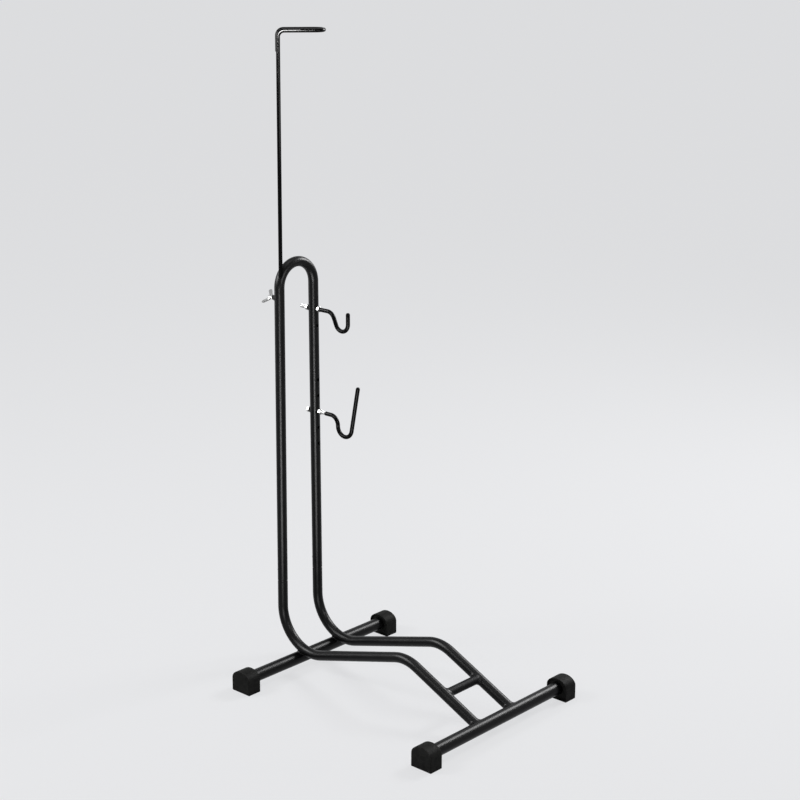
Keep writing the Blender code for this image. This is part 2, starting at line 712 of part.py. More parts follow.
def build():
    """Make every piece of the stand."""
    front_room = cross_tube("front_cross_tube", FRONT_X)
    rear_room = cross_tube("rear_cross_tube", REAR_X)
    base_rooms = {}
    screw_holes = []
    for word, side in SIDES.items():
        foot("front_%s_foot" % word, FRONT_X, side, front_room)
        foot("rear_%s_foot" % word, REAR_X, side, rear_room)
        base_rooms[word], hole = base_tube("%s_base_tube" % word, side, front_room)
        screw_holes.append(hole)
        joint_screw("%s_joint_screw" % word, side)
    brace_tube("brace_tube", base_rooms.values())
    upright_hairpin("upright_hairpin", screw_holes)

    right_room, left_room = upright_room(-1), upright_room(1)
    clamp_axis = leg(-1, CLAMP_HEIGHT)
    clamp_room = bar_tool("clamp_bolt_room", clamp_axis, clamp_axis - FORWARD * (CLAMP_REACH + MAIN_RADIUS),
                          THREAD_RADIUS + CLEARANCE)
    clamp_boss("clamp_boss", right_room, clamp_room)
    wing_bolt("wing_bolt")
    rod_guide("rod_guide")
    hook_rod("hook_rod")

    for name, height, tail_length, reach, sleeve_start, shape in HOOKS:
        j_hook(name, height, tail_length, reach, sleeve_start, shape)
        axis = leg(1, height)
        shank = FORWARD * (tail_length + NUT_THICKNESS)
        shank_room = bar_tool(name + "_shank_room", axis - shank, axis + shank, THREAD_RADIUS + CLEARANCE)
        hook_hardware(name, height, left_room, shank_room)

    branch_weld("clamp_boss_weld", clamp_axis, -FORWARD, BOSS_DIAMETER / 2, leg_heading(-1), MAIN_RADIUS,
                (right_room, boss_room(clamp_axis)))
    for word, side in SIDES.items():
        rear_weld("rear_%s_weld" % word, side, rear_room, base_rooms[word])
        end = Vector((FRONT_X, side * BASE_Y, CROSS_TUBE_HEIGHT))
        branch_weld("front_%s_weld" % word, end, -fall_heading(), MAIN_RADIUS, LEFT, CROSS_RADIUS,
                    (front_room, base_rooms[word]))
        branch_weld("brace_%s_weld" % word, brace_centre() + LEFT * side * BASE_Y, -LEFT * side,
                    BRACE_RADIUS, fall_heading(), MAIN_RADIUS, (base_rooms[word], brace_room()))


def upright_room(side):
    """The space that an upright takes."""
    return bar_tool("upright_room", leg(side, JOINT_HEIGHT), leg(side, ARCH_CENTRE_HEIGHT),
                    MAIN_RADIUS + CLEARANCE, TUBE_SIDES)


def boss_room(axis):
    """The space that the clamp boss takes."""
    back = axis - FORWARD * (CLAMP_REACH + MAIN_RADIUS)
    return bar_tool("clamp_boss_room", axis, back, BOSS_DIAMETER / 2 + CLEARANCE, TUBE_SIDES)


def brace_room():
    """The space that the brace takes."""
    return bar_tool("brace_room", brace_centre() - LEFT * BASE_Y, brace_centre() + LEFT * BASE_Y,
                    BRACE_RADIUS + CLEARANCE, TUBE_SIDES)


clear_scene()
PARTS = make_collection("bike_parking_stand")
TOOLS = make_collection("cutters")
build()
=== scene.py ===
"""The looks of a bike parking stand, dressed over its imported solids."""

import json
import math

import bmesh
import bpy
from mathutils import Matrix, Vector

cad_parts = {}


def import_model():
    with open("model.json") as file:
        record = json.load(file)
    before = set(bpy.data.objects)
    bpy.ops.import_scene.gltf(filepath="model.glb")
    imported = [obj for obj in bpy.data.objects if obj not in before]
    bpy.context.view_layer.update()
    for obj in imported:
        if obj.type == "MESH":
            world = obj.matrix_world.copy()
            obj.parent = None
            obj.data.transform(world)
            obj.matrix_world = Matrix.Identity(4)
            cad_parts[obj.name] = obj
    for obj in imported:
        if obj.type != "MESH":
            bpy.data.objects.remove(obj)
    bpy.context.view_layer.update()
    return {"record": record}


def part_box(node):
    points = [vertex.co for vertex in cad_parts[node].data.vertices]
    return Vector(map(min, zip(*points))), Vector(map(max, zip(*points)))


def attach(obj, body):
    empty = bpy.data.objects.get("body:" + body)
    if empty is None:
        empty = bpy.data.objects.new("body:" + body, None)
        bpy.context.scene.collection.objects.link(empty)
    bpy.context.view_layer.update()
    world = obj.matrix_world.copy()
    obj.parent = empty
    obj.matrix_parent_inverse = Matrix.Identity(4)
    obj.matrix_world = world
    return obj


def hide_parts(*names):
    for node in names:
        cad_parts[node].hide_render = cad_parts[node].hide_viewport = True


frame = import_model()

FORWARD = Vector((1, 0, 0))
LEFT = Vector((0, 1, 0))
UP = Vector((0, 0, 1))
SIDES = {"left": 1, "right": -1}


# Camera, in metres and degrees

CAMERA_PLACE = Vector((2.784569, -3.036624, 1.925274))
CAMERA_AZIMUTH = 42.2585
CAMERA_PITCH = 15.8847
CAMERA_ROLL = 0.17495
CAMERA_LENS = 80.7043


def place_camera():
    """Look at the stand from its front right, as the photograph does."""
    data = bpy.data.cameras.new("camera")
    data.sensor_width = 36
    data.lens = CAMERA_LENS
    camera = bpy.data.objects.new("camera", data)
    bpy.context.scene.collection.objects.link(camera)
    turn = Matrix.Rotation(math.radians(CAMERA_AZIMUTH), 4, "Z")
    tilt = Matrix.Rotation(math.radians(90 - CAMERA_PITCH), 4, "X")
    roll = Matrix.Rotation(math.radians(CAMERA_ROLL), 4, "Z")
    camera.matrix_world = Matrix.Translation(CAMERA_PLACE) @ turn @ tilt @ roll
    bpy.context.scene.camera = camera


place_camera()


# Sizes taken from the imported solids

def middle(node):
    """The middle of a node's box."""
    low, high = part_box(node)
    return (low + high) / 2


def size(node):
    """The size of a node's box."""
    low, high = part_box(node)
    return high - low


JOINTS = {joint["name"]: joint for joint in frame["record"]["behaviour"]["joints"]}
FRONT_X = middle("front_cross_tube").x
REAR_X = middle("rear_cross_tube").x
CROSS_TUBE_HEIGHT = middle("front_cross_tube").z
CROSS_RADIUS = size("front_cross_tube").z / 2
FOOT = size("front_left_foot")
OVERALL_WIDTH = 2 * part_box("front_left_foot")[1].y
CLAMP_HEIGHT = JOINTS["rod_swivel"]["pos_m"][2]
UPPER_HOOK_HEIGHT = JOINTS["upper_hook_swivel"]["pos_m"][2]
LOWER_HOOK_HEIGHT = JOINTS["lower_hook_swivel"]["pos_m"][2]
LEAN = math.atan2(JOINTS["rod_slide"]["axis"][1], JOINTS["rod_slide"]["axis"][2])


# Tubes, in metres and degrees

CLEARANCE = 0.0003
MAIN_RADIUS = 0.0127
MAIN_WALL = 0.0012
BRACE_RADIUS = 0.0111
UPRIGHT_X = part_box("left_base_tube")[0].x + MAIN_RADIUS
BASE_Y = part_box("left_base_tube")[1].y - MAIN_RADIUS
ARCH_SPREAD = 0.117
ARCH_ABOVE_CLAMP = 0.026
ARCH_CENTRE_HEIGHT = CLAMP_HEIGHT + ARCH_ABOVE_CLAMP
REAR_BEND_RADIUS = 0.105
FRONT_BEND_RADIUS = 0.100
RISE_ANGLE = 16.0
FALL_ANGLE = 25.0
BRACE_SETBACK = 0.1085
JOINT_HEIGHT = 0.226
SPIGOT_LENGTH = 0.050
SPIGOT_RADIUS = 0.0112
BEND_X = UPRIGHT_X + REAR_BEND_RADIUS
BEND_REACH = REAR_BEND_RADIUS + MAIN_RADIUS + CROSS_RADIUS + CLEARANCE
BEND_Z = CROSS_TUBE_HEIGHT + math.sqrt(BEND_REACH ** 2 - (BEND_X - REAR_X) ** 2)

# The groove under the joint has a floor, and a shoulder of lengths and the radii at their ends.
GROOVE_FLOOR = 0.003
SHOULDER = ((0.0004, 0.01135), (0.0002, 0.012475), (0.0004, MAIN_RADIUS))
GROOVE_LENGTH = GROOVE_FLOOR + sum(length for length, radius in SHOULDER)


# Feet

FOOT_SIDE_HEIGHT = 0.034
FOOT_END_WALL = 0.006
FOOT_EDGE = 0.0018
FOOT_RIM = 0.0030
FOOT_POCKET = 0.0035
SOCKET_ROOM = 0.0006
ARCH_STEPS = 40


# Sliding rod

ROD_RADIUS = 0.005
ROD_OFFSET = 0.005
ROD_BEND_RADIUS = 0.015
ROD_CHAMFER = 0.001
GUIDE_LENGTH = 0.030
GUIDE_RADIUS = 0.0112
GUIDE_FLOOR = 0.004
GUIDE_EDGE = 0.001
ROD_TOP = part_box("hook_rod")[1].z
ROD_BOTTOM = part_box("rod_guide")[0].z + GUIDE_FLOOR
LOOP_LENGTH = 0.110
LOOP_WIDTH = 0.046
LOOP_TIP_DROP = 0.054
LOOP_HEADING = 48.5


# Threads

THREAD_RADIUS = 0.004
THREAD_ROOT_RADIUS = 0.0034
THREAD_PITCH = 0.00125
THREAD_CHAMFER = THREAD_RADIUS - THREAD_ROOT_RADIUS + 0.0004
THREAD_STEPS = 32
BORE_RADIUS = THREAD_RADIUS + CLEARANCE

# One turn of the thread, as shares of the pitch and radii.
THREAD_FORM = ((0.0, THREAD_ROOT_RADIUS), (0.22, THREAD_ROOT_RADIUS),
               (0.52, THREAD_RADIUS), (0.68, THREAD_RADIUS))


# Clamp

BOSS_RADIUS = 0.0085
BOSS_LENGTH = 0.009
BOSS_BORE_EDGE = 0.0005

# The boss's cone, as shares of its radius and length, and its rounded end, as shares of its radius
# with the distances from its end.
BOSS_CONE = ((1.0, 0.0), (0.90, 0.25), (0.78, 0.55))
BOSS_ROUNDING = ((0.71, 0.0009), (0.69, 0.0003), (0.64, 0.0))

WING_HUB_RADIUS = 0.006
WING_HUB_TOP_RADIUS = 0.0048
WING_HUB_LENGTH = 0.014
WING_HUB_FOOT_RISE = 0.0006
WING_HUB_FOOT_INSET = 0.0005
WING_HUB_DIMPLE = 0.0005
BOLT_CHAMFER = 0.0012
BOLT_EDGE = 0.0005

# The hub's rounded top, as distances in from its radius and down from its end.
WING_HUB_CROWN = ((0.0022, WING_HUB_DIMPLE), (0.0016, 0.0), (0.0009, 0.0), (0.0002, 0.0004), (0.0, 0.0011))

WING_ROOT_LOW = 0.003
WING_ROOT_HIGH = 0.0124
WING_SPAN = 0.042
WING_RISE = 0.026
WING_TIP_RADIUS = 0.0045
WING_THICKNESS = 0.0028
WING_TIP_HALF = 0.36
WING_ROOT_HALF = 0.62
WING_EDGE = 0.0007
WING_SLICES = 10
WING_FLAT_ANGLE = 0.01
WING_TURN = -50.0
WING_BOW = 0.0030


# Hooks

SLEEVE_RADIUS = 0.0053
SLEEVE_INSIDE = 0.004
THREAD_IN_SLEEVE = 0.003
WIRE_OVERLAP = 0.002
HOOK_BEND_RADIUS = 0.024
HOOK_TIP = 0.0035
TIP_WALL = 0.0015

# The sleeve's rolled mouth, as lengths and the radii at their ends.
SLEEVE_MOUTH = ((0.0, BORE_RADIUS + 0.0002), (-0.0001, SLEEVE_RADIUS - 0.0004), (0.0004, SLEEVE_RADIUS),
                (0.0012, SLEEVE_RADIUS + 0.0002), (0.0016, SLEEVE_RADIUS))
SLEEVE_MOUTH_LENGTH = sum(length for length, radius in SLEEVE_MOUTH)

# A hook's tail lies behind the upright's axis and its reach before it, up to the first bend. Its sleeve
# starts at the mouth. The wire dips by an angle, drops, sweeps up round a radius, and ends in a tip.
HOOKS = {
    "upper": dict(height=UPPER_HOOK_HEIGHT, tail=0.045, reach=0.049, mouth=0.0235,
                  dip=65.0, drop=0.0195, radius=0.021, sweep=155.0, tip=0.024),
    "lower": dict(height=LOWER_HOOK_HEIGHT, tail=0.030, reach=0.057, mouth=0.0385,
                  dip=89.0, drop=0.001, radius=0.024, sweep=168.0, tip=0.115),
}

# There is a hole below the upper hook, and there are two below and two above the lower one.
HOLE_PITCH = 0.042
HOLE_EDGE = 0.0004
HOOK_HOLES = [UPPER_HOOK_HEIGHT - HOLE_PITCH * step for step in range(2)]
HOOK_HOLES += [LOWER_HOOK_HEIGHT + HOLE_PITCH * step for step in range(-2, 3)]
NUT_ACROSS_FLATS = 0.013
NUT_THICKNESS = 0.0065
NUT_FACE_SHARE = 0.97
NUT_CHAMFER_ANGLE = 30.0
NUT_FUNNEL = 0.0007
NUT_EDGE = 0.00018
SADDLE_RADIUS = 0.009
SADDLE_THICKNESS = {"front": 0.0025, "rear": 0.0050}
SADDLE_NECK = {"front": 0.0072, "rear": 0.0060}
SADDLE_BRIM = 0.001
SADDLE_EDGE = 0.0006
SADDLE_CORNER = 0.00018
SADDLE_CUT_REACH = 0.05


# Joint screws

SCREW_HEIGHT = 0.025
SCREW_HEAD_RADIUS = 0.005
SCREW_HEAD_HEIGHT = 0.0028
SCREW_CROWN_SHARE = 0.4
SCREW_HEAD_STEPS = 8
SCREW_SHANK_RADIUS = 0.0025
SCREW_GRIP = 0.007
RECESS_TIP_RADIUS = 0.0006
RECESS_MOUTH_RADIUS = 0.0024
RECESS_DEPTH = 0.0024
RECESS_FLATNESS = 0.28


# Welds

BEAD_RADIUS = 0.0028
BEAD_RIPPLE = 0.05
BEAD_RIPPLES = 20
FILLET = 0.0065
FILLET_FLARE = 0.6
FILLET_RIPPLE = 0.06
FILLET_RIPPLES = 26
FILLET_STEPS = 9
FILLET_HOLLOW = 0.0004
BOSS_FILLET = 0.0024
BOSS_FILLET_RIPPLES = 12
BOSS_WELD_RADIUS = BOSS_RADIUS * 0.97
REAR_WELD_REACH = 0.0084
SLOW_RIPPLES = 7
SLOW_SHARE = 0.3
SLOW_START = 1.0
TOE_SUNK = 0.0001
ROOT_SUNK = 0.001


# Fineness of the meshes

TUBE_SIDES = 64
FINE_SIDES = 96
ROUND_SIDES = 48
WIRE_SIDES = 32
BEND_STEP = 4.0
HOLE_BAND = 0.007
EDGE_BAND = 0.0015
MERGE_DISTANCE = 0.000001
NEARLY_ALONG = 0.9


# Finishes

ENAMEL_DARK = (0.0018, 0.0018, 0.0021)
ENAMEL_PALE = (0.0042, 0.0042, 0.0046)
ENAMEL_RUBBING = 0.08
DUST_SHARE = 0.3
VINYL_DARK = (0.0012, 0.0012, 0.0013)
VINYL_PALE = (0.0030, 0.0030, 0.0032)
PLASTIC_DARK = (0.0066, 0.0067, 0.0063)
PLASTIC_PALE = (0.0190, 0.0191, 0.0180)
ZINC_DARK = (0.25, 0.25, 0.25)
ZINC_PALE = (0.44, 0.44, 0.435)


def noise_texture(nodes, links, coordinates, scale, detail=3.0, roughness=0.5):
    """A noise pattern that sits still on the piece, with its scale per metre."""
    texture = nodes.new("ShaderNodeTexNoise")
    texture.inputs["Scale"].default_value = scale
    texture.inputs["Detail"].default_value = detail
    texture.inputs["Roughness"].default_value = roughness
    links.new(coordinates, texture.inputs["Vector"])
    return texture.outputs["Fac"]


def ramp(nodes, links, value, *stops):
    """Turn a value into colours or greys."""
    node = nodes.new("ShaderNodeValToRGB")
    while len(node.color_ramp.elements) < len(stops):
        node.color_ramp.elements.new(0.5)
    for element, (position, colour) in zip(node.color_ramp.elements, stops):
        element.position = position
        if isinstance(colour, float):
            colour = (colour, colour, colour)
        element.color = (*colour, 1.0)
    links.new(value, node.inputs["Fac"])
    return node.outputs["Color"]


def relief(nodes, links, height, strength, distance, below=None):
    """A bump from a height pattern, over the bump below it if there is one."""
    node = nodes.new("ShaderNodeBump")
    node.inputs["Strength"].default_value = strength
    node.inputs["Distance"].default_value = distance
    links.new(height, node.inputs["Height"])
    if below is not None:
        links.new(below, node.inputs["Normal"])
    return node.outputs["Normal"]


def stretched(nodes, links, coordinates, scale):
    """Object coordinates that are squeezed along some axes."""
    node = nodes.new("ShaderNodeMapping")
    node.inputs["Scale"].default_value = scale
    links.new(coordinates, node.inputs["Vector"])
    return node.outputs["Vector"]


def start_finish(name, metallic, specular):
    """A new material, its shader, and its object coordinates."""
    material = bpy.data.materials.new(name)
    material.use_nodes = True
    nodes, links = material.node_tree.nodes, material.node_tree.links
    shader = nodes["Principled BSDF"]
    shader.inputs["Metallic"].default_value = metallic
    shader.inputs["Specular IOR Level"].default_value = specular
    coordinates = nodes.new("ShaderNodeTexCoord").outputs["Object"]
    return material, shader, nodes, links, coordinates


def black_enamel(name, depth, gloss, specular, peel_strength=0.10):
    """Stove enamel with a slight orange peel, a little dust and faint rubbing."""
    material, shader, nodes, links, place = start_finish(name, metallic=0.0, specular=specular)
    cloud = noise_texture(nodes, links, place, scale=38.0, detail=4.0)
    dust = noise_texture(nodes, links, place, scale=1100.0, detail=2.0, roughness=0.7)
    peel = noise_texture(nodes, links, place, scale=420.0, detail=1.0)
    dark = [part * depth for part in ENAMEL_DARK]
    pale = [part * depth for part in ENAMEL_PALE]
    colour = ramp(nodes, links, cloud, (0.30, dark), (0.75, pale))
    specks = ramp(nodes, links, dust, (0.70, 0.0), (0.84, 0.03))
    mix = nodes.new("ShaderNodeMix")
    mix.data_type = "RGBA"
    mix.blend_type = "ADD"
    mix.inputs["Factor"].default_value = DUST_SHARE
    links.new(colour, mix.inputs["A"])
    links.new(specks, mix.inputs["B"])
    links.new(mix.outputs["Result"], shader.inputs["Base Color"])
    roughness = ramp(nodes, links, cloud, (0.25, gloss), (0.80, gloss + ENAMEL_RUBBING))
    links.new(roughness, shader.inputs["Roughness"])
    bump = relief(nodes, links, peel, strength=peel_strength, distance=0.0006)
    links.new(bump, shader.inputs["Normal"])
    return material


def black_vinyl():
    """Soft dip coating, smooth and a little uneven."""
    material, shader, nodes, links, place = start_finish("black_vinyl_dip", metallic=0.0, specular=0.05)
    flow = noise_texture(nodes, links, place, scale=160.0, detail=2.0)
    grain = noise_texture(nodes, links, place, scale=1500.0, detail=2.0)
    colour = ramp(nodes, links, flow, (0.30, VINYL_DARK), (0.80, VINYL_PALE))
    links.new(colour, shader.inputs["Base Color"])
    links.new(ramp(nodes, links, flow, (0.30, 0.12), (0.75, 0.22)), shader.inputs["Roughness"])
    flowing = relief(nodes, links, flow, strength=0.35, distance=0.0008)
    bump = relief(nodes, links, grain, strength=0.08, distance=0.0002, below=flowing)
    links.new(bump, shader.inputs["Normal"])
    return material


def black_plastic():
    """Moulded plastic with a fine spark-eroded grain and a mottled bloom."""
    material, shader, nodes, links, place = start_finish("black_plastic_moulded", metallic=0.0,
                                                         specular=0.03)
    cloud = noise_texture(nodes, links, place, scale=90.0, detail=5.0, roughness=0.6)
    grain = noise_texture(nodes, links, place, scale=2200.0, detail=3.0, roughness=0.6)
    colour = ramp(nodes, links, cloud, (0.28, PLASTIC_DARK), (0.78, PLASTIC_PALE))
    links.new(colour, shader.inputs["Base Color"])
    links.new(ramp(nodes, links, cloud, (0.25, 0.46), (0.80, 0.64)), shader.inputs["Roughness"])
    bump = relief(nodes, links, grain, strength=0.35, distance=0.0004)
    links.new(bump, shader.inputs["Normal"])
    return material


def bright_zinc():
    """Bright zinc plate, mottled and finely brushed."""
    material, shader, nodes, links, place = start_finish("bright_zinc_plate", metallic=1.0, specular=0.5)
    mottle = noise_texture(nodes, links, place, scale=420.0, detail=3.0)
    brushed = stretched(nodes, links, place, scale=(1.0, 8.0, 8.0))
    scratches = noise_texture(nodes, links, brushed, scale=1400.0, detail=2.0)
    colour = ramp(nodes, links, mottle, (0.30, ZINC_DARK), (0.70, ZINC_PALE))
    links.new(colour, shader.inputs["Base Color"])
    links.new(ramp(nodes, links, mottle, (0.30, 0.20), (0.75, 0.11)), shader.inputs["Roughness"])
    bump = relief(nodes, links, scratches, strength=0.12, distance=0.0002)
    links.new(bump, shader.inputs["Normal"])
    return material


ROD_FINISH = black_enamel("black_enamel_gloss", depth=0.3, gloss=0.10, specular=0.05, peel_strength=0.03)
BRACE_FINISH = black_enamel("black_enamel_dull", depth=2.0, gloss=0.50, specular=0.06)
FINISHES = {
    "black_enamel": black_enamel("black_enamel_satin", depth=1.0, gloss=0.28, specular=0.10),
    "black_vinyl": black_vinyl(),
    "black_plastic": black_plastic(),
    "bright_zinc": bright_zinc(),
}


# Making and finishing a piece

def stand(place, heading, side=None):
    """A matrix at a place, whose Z looks along the heading and whose X looks to the side."""
    if side is None:
        side = FORWARD if abs(heading.dot(FORWARD)) < NEARLY_ALONG else -LEFT
    across = heading.cross(side).normalized()
    along = across.cross(heading).normalized()
    turn = Matrix((along, across, heading)).transposed().to_4x4()
    return Matrix.Translation(place) @ turn


def new_object(name, shape):
    """Put a shape in the scene as an object."""
    mesh = bpy.data.meshes.new(name)
    shape.to_mesh(mesh)
    shape.free()
    obj = bpy.data.objects.new(name, mesh)
    bpy.context.scene.collection.objects.link(obj)
    return obj


def set_steps(obj):
    """Make an object's modifiers part of its mesh."""
    bpy.context.view_layer.update()
    shown = obj.evaluated_get(bpy.context.evaluated_depsgraph_get())
    mesh = bpy.data.meshes.new_from_object(shown)
    obj.modifiers.clear()
    obj.data = mesh
    return obj


def combine(obj, tools, operation):
    """Cut an object with tools, or make them part of it."""
    for tool in tools:
        step = obj.modifiers.new("combine", "BOOLEAN")
        step.operation = operation
        step.solver = "EXACT"
        step.object = tool
    set_steps(obj)
    for tool in tools:
        bpy.data.objects.remove(tool, do_unlink=True)
    return obj


def carve(obj, *tools):
    """Cut an object with tools."""
    return combine(obj, tools, "DIFFERENCE")


def join(obj, other):
    """Add another object's mesh to an object's, where they may run into each other unseen."""
    shape = bmesh.new()
    shape.from_mesh(obj.data)
    shape.from_mesh(other.data)
    shape.to_mesh(obj.data)
    shape.free()
    bpy.data.objects.remove(other, do_unlink=True)


def soften(obj, width, segments=2, angle=35.0):
    """Round an object's sharp edges."""
    step = obj.modifiers.new("edges", "BEVEL")
    step.width = width
    step.segments = segments
    step.limit_method = "ANGLE"
    step.angle_limit = math.radians(angle)
    step.use_clamp_overlap = True
    return set_steps(obj)


def thicken(obj, wall):
    """Give an open tube surface its wall, inwards."""
    step = obj.modifiers.new("wall", "SOLIDIFY")
    step.thickness = wall
    step.offset = -1.0
    step.use_even_offset = True
    return set_steps(obj)


def dress(obj, body, slot, *nodes, angle=32.0, flats=False):
    """Give a piece its finish, and let it stand for CAD nodes.

    With flats, the large faces keep their flat shading up to the rounded edges.
    """
    obj.data.materials.clear()
    obj.data.materials.append(FINISHES[slot])
    obj.data.shade_smooth()
    obj.data.set_sharp_from_angle(angle=math.radians(angle))
    if flats:
        step = obj.modifiers.new("shading", "WEIGHTED_NORMAL")
        step.keep_sharp = True
        set_steps(obj)
    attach(obj, body)
    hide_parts(*nodes)
    return obj


def follow(shape, rim, place, heading, radius, moves):
    """Draw a ring of edges along a bent tube.

    A move is a length, a length and the radius at its end, or a bend's radius, angle and axis.
    """
    for move in moves:
        if len(move) == 3:
            bend, angle, axis = move
            centre = place + axis.cross(heading) * bend
            steps = max(1, round(angle / BEND_STEP))
            drawn = bmesh.ops.spin(shape, geom=rim, cent=centre, axis=axis, dvec=(0, 0, 0),
                                   angle=math.radians(angle), steps=steps, use_merge=False)["geom_last"]
            turn = Matrix.Rotation(math.radians(angle), 3, axis)
            place = centre + turn @ (place - centre)
            heading = turn @ heading
        else:
            drawn = bmesh.ops.extrude_edge_only(shape, edges=rim)["geom"]
            spots = [item for item in drawn if isinstance(item, bmesh.types.BMVert)]
            place = place + heading * move[0]
            bmesh.ops.translate(shape, verts=spots, vec=heading * move[0])
            if len(move) == 2:
                scale = move[1] / radius
                bmesh.ops.scale(shape, verts=spots, vec=(scale, scale, scale),
                                space=Matrix.Translation(-place))
                radius = move[1]
        rim = [item for item in drawn if isinstance(item, bmesh.types.BMEdge)]
    return rim


def bent_bar(name, place, heading, radius, moves, sides=TUBE_SIDES, capped=True):
    """A round bar or an open tube surface along bends."""
    shape = bmesh.new()
    bmesh.ops.create_circle(shape, cap_ends=False, segments=sides, radius=radius,
                            matrix=stand(place, heading))
    first = shape.edges[:]
    last = follow(shape, first, place, heading, radius, moves)
    caps = []
    for rim in (first, last):
        caps += bmesh.ops.edgeloop_fill(shape, edges=rim)["faces"]
    bmesh.ops.recalc_face_normals(shape, faces=shape.faces)
    if not capped:
        bmesh.ops.delete(shape, geom=caps, context="FACES_ONLY")
    return new_object(name, shape)


def bar(place, heading, length, radius, sides=ROUND_SIDES):
    """A round bar that starts at a place."""
    shape = bmesh.new()
    bmesh.ops.create_cone(shape, cap_ends=True, segments=sides, radius1=radius, radius2=radius,
                          depth=length, matrix=stand(place + heading * (length / 2), heading))
    return new_object("bar", shape)


def turned(name, profile, matrix, steps=ROUND_SIDES):
    """Turn a profile of radius and height pairs about the local Z axis."""
    shape = bmesh.new()
    spots = [shape.verts.new((radius, 0, height)) for radius, height in profile]
    edges = [shape.edges.new(pair) for pair in zip(spots, spots[1:])]
    bmesh.ops.spin(shape, geom=spots + edges, cent=(0, 0, 0), axis=(0, 0, 1), dvec=(0, 0, 0),
                   angle=2 * math.pi, steps=steps, use_merge=True)
    bmesh.ops.remove_doubles(shape, verts=shape.verts, dist=MERGE_DISTANCE)
    bmesh.ops.recalc_face_normals(shape, faces=shape.faces)
    bmesh.ops.transform(shape, matrix=matrix, verts=shape.verts)
    return new_object(name, shape)


def rounding(radius, length, end_share=0.35, steps=5):
    """Moves that round the end of a bar over a length, down to a share of its radius."""
    moves = []
    for step in range(1, steps + 1):
        before = math.radians(90 * (step - 1) / steps)
        after = math.radians(90 * step / steps)
        share = end_share + (1 - end_share) * math.cos(after)
        moves.append((length * (math.sin(after) - math.sin(before)), radius * share))
    return moves


# Places on the stand

def leg(side, height):
    """A point on an upright's axis."""
    inward = max(height - BEND_Z, 0.0) * math.tan(LEAN)
    return Vector((UPRIGHT_X, side * (BASE_Y - inward), height))


def leg_heading(side):
    """The direction in which an upright goes up."""
    return UP * math.cos(LEAN) - LEFT * side * math.sin(LEAN)


def rod_axis(height):
    """A point on the rod's axis."""
    return leg(-1, height) + FORWARD * ROD_OFFSET


def fall_heading():
    """The direction in which the front runs of the base tubes go down."""
    fall = math.radians(FALL_ANGLE)
    return FORWARD * math.cos(fall) - UP * math.sin(fall)


def brace_centre():
    """The middle of the brace."""
    rise = BRACE_SETBACK * math.tan(math.radians(FALL_ANGLE))
    return Vector((FRONT_X - BRACE_SETBACK, 0, CROSS_TUBE_HEIGHT + rise))


# Frame

def cross_tube(name, x):
    """A straight tube across the stand."""
    half = OVERALL_WIDTH / 2 - FOOT_END_WALL - CLEARANCE
    place = Vector((x, -half, CROSS_TUBE_HEIGHT))
    tube = bent_bar(name + "_skin", place, LEFT, CROSS_RADIUS, [(2 * half,)])
    dress(tube, "frame", "black_enamel", name)


def arched_block(inset, length):
    """A block with an arched top, whose outline lies inside the foot's by an inset."""
    half = FOOT.x / 2 - inset
    shape = bmesh.new()
    heel = shape.verts.new((half, 0, inset))
    shoulder = shape.verts.new((half, 0, FOOT_SIDE_HEIGHT))
    shape.edges.new((heel, shoulder))
    arch = bmesh.ops.spin(shape, geom=[shoulder], cent=(0, 0, FOOT_SIDE_HEIGHT), axis=-LEFT,
                          dvec=(0, 0, 0), angle=math.pi, steps=ARCH_STEPS, use_merge=False)["geom_last"]
    toe = shape.verts.new((-half, 0, inset))
    end = [item for item in arch if isinstance(item, bmesh.types.BMVert)][0]
    shape.edges.new((end, toe))
    shape.edges.new((toe, heel))
    crown = [spot for spot in shape.verts if spot.co.z > FOOT_SIDE_HEIGHT + CLEARANCE]
    flatten = (FOOT.z - FOOT_SIDE_HEIGHT - inset) / half
    bmesh.ops.scale(shape, verts=crown, vec=(1, 1, flatten),
                    space=Matrix.Translation((0, 0, -FOOT_SIDE_HEIGHT)))
    face = bmesh.ops.edgeloop_fill(shape, edges=shape.edges)["faces"]
    drawn = bmesh.ops.extrude_face_region(shape, geom=face)["geom"]
    moved = [item for item in drawn if isinstance(item, bmesh.types.BMVert)]
    bmesh.ops.translate(shape, verts=moved, vec=(0, length, 0))
    bmesh.ops.recalc_face_normals(shape, faces=shape.faces)
    return shape


def foot_pocket(inner):
    """The hollow in a foot's inner face, round the tube."""
    shape = arched_block(FOOT_RIM, 2 * FOOT_POCKET)
    bmesh.ops.translate(shape, verts=shape.verts, vec=(inner.x, inner.y - FOOT_POCKET, 0))
    return new_object("pocket", shape)


def foot(name, x, side):
    """A moulded foot with an arched top, a hollow inner face and a socket for the tube."""
    y = side * (OVERALL_WIDTH - FOOT.y) / 2
    shape = arched_block(0.0, FOOT.y)
    bmesh.ops.translate(shape, verts=shape.verts, vec=(x, y - FOOT.y / 2, 0))
    block = soften(new_object(name + "_block", shape), FOOT_EDGE, 4)
    inner = Vector((x, y - side * FOOT.y / 2, CROSS_TUBE_HEIGHT))
    socket = bar(inner - LEFT * side * FOOT_EDGE, LEFT * side, FOOT.y - FOOT_END_WALL + FOOT_EDGE,
                 CROSS_RADIUS + SOCKET_ROOM, TUBE_SIDES)
    carve(block, foot_pocket(inner), socket)
    dress(block, "frame", "black_plastic", name, flats=True)


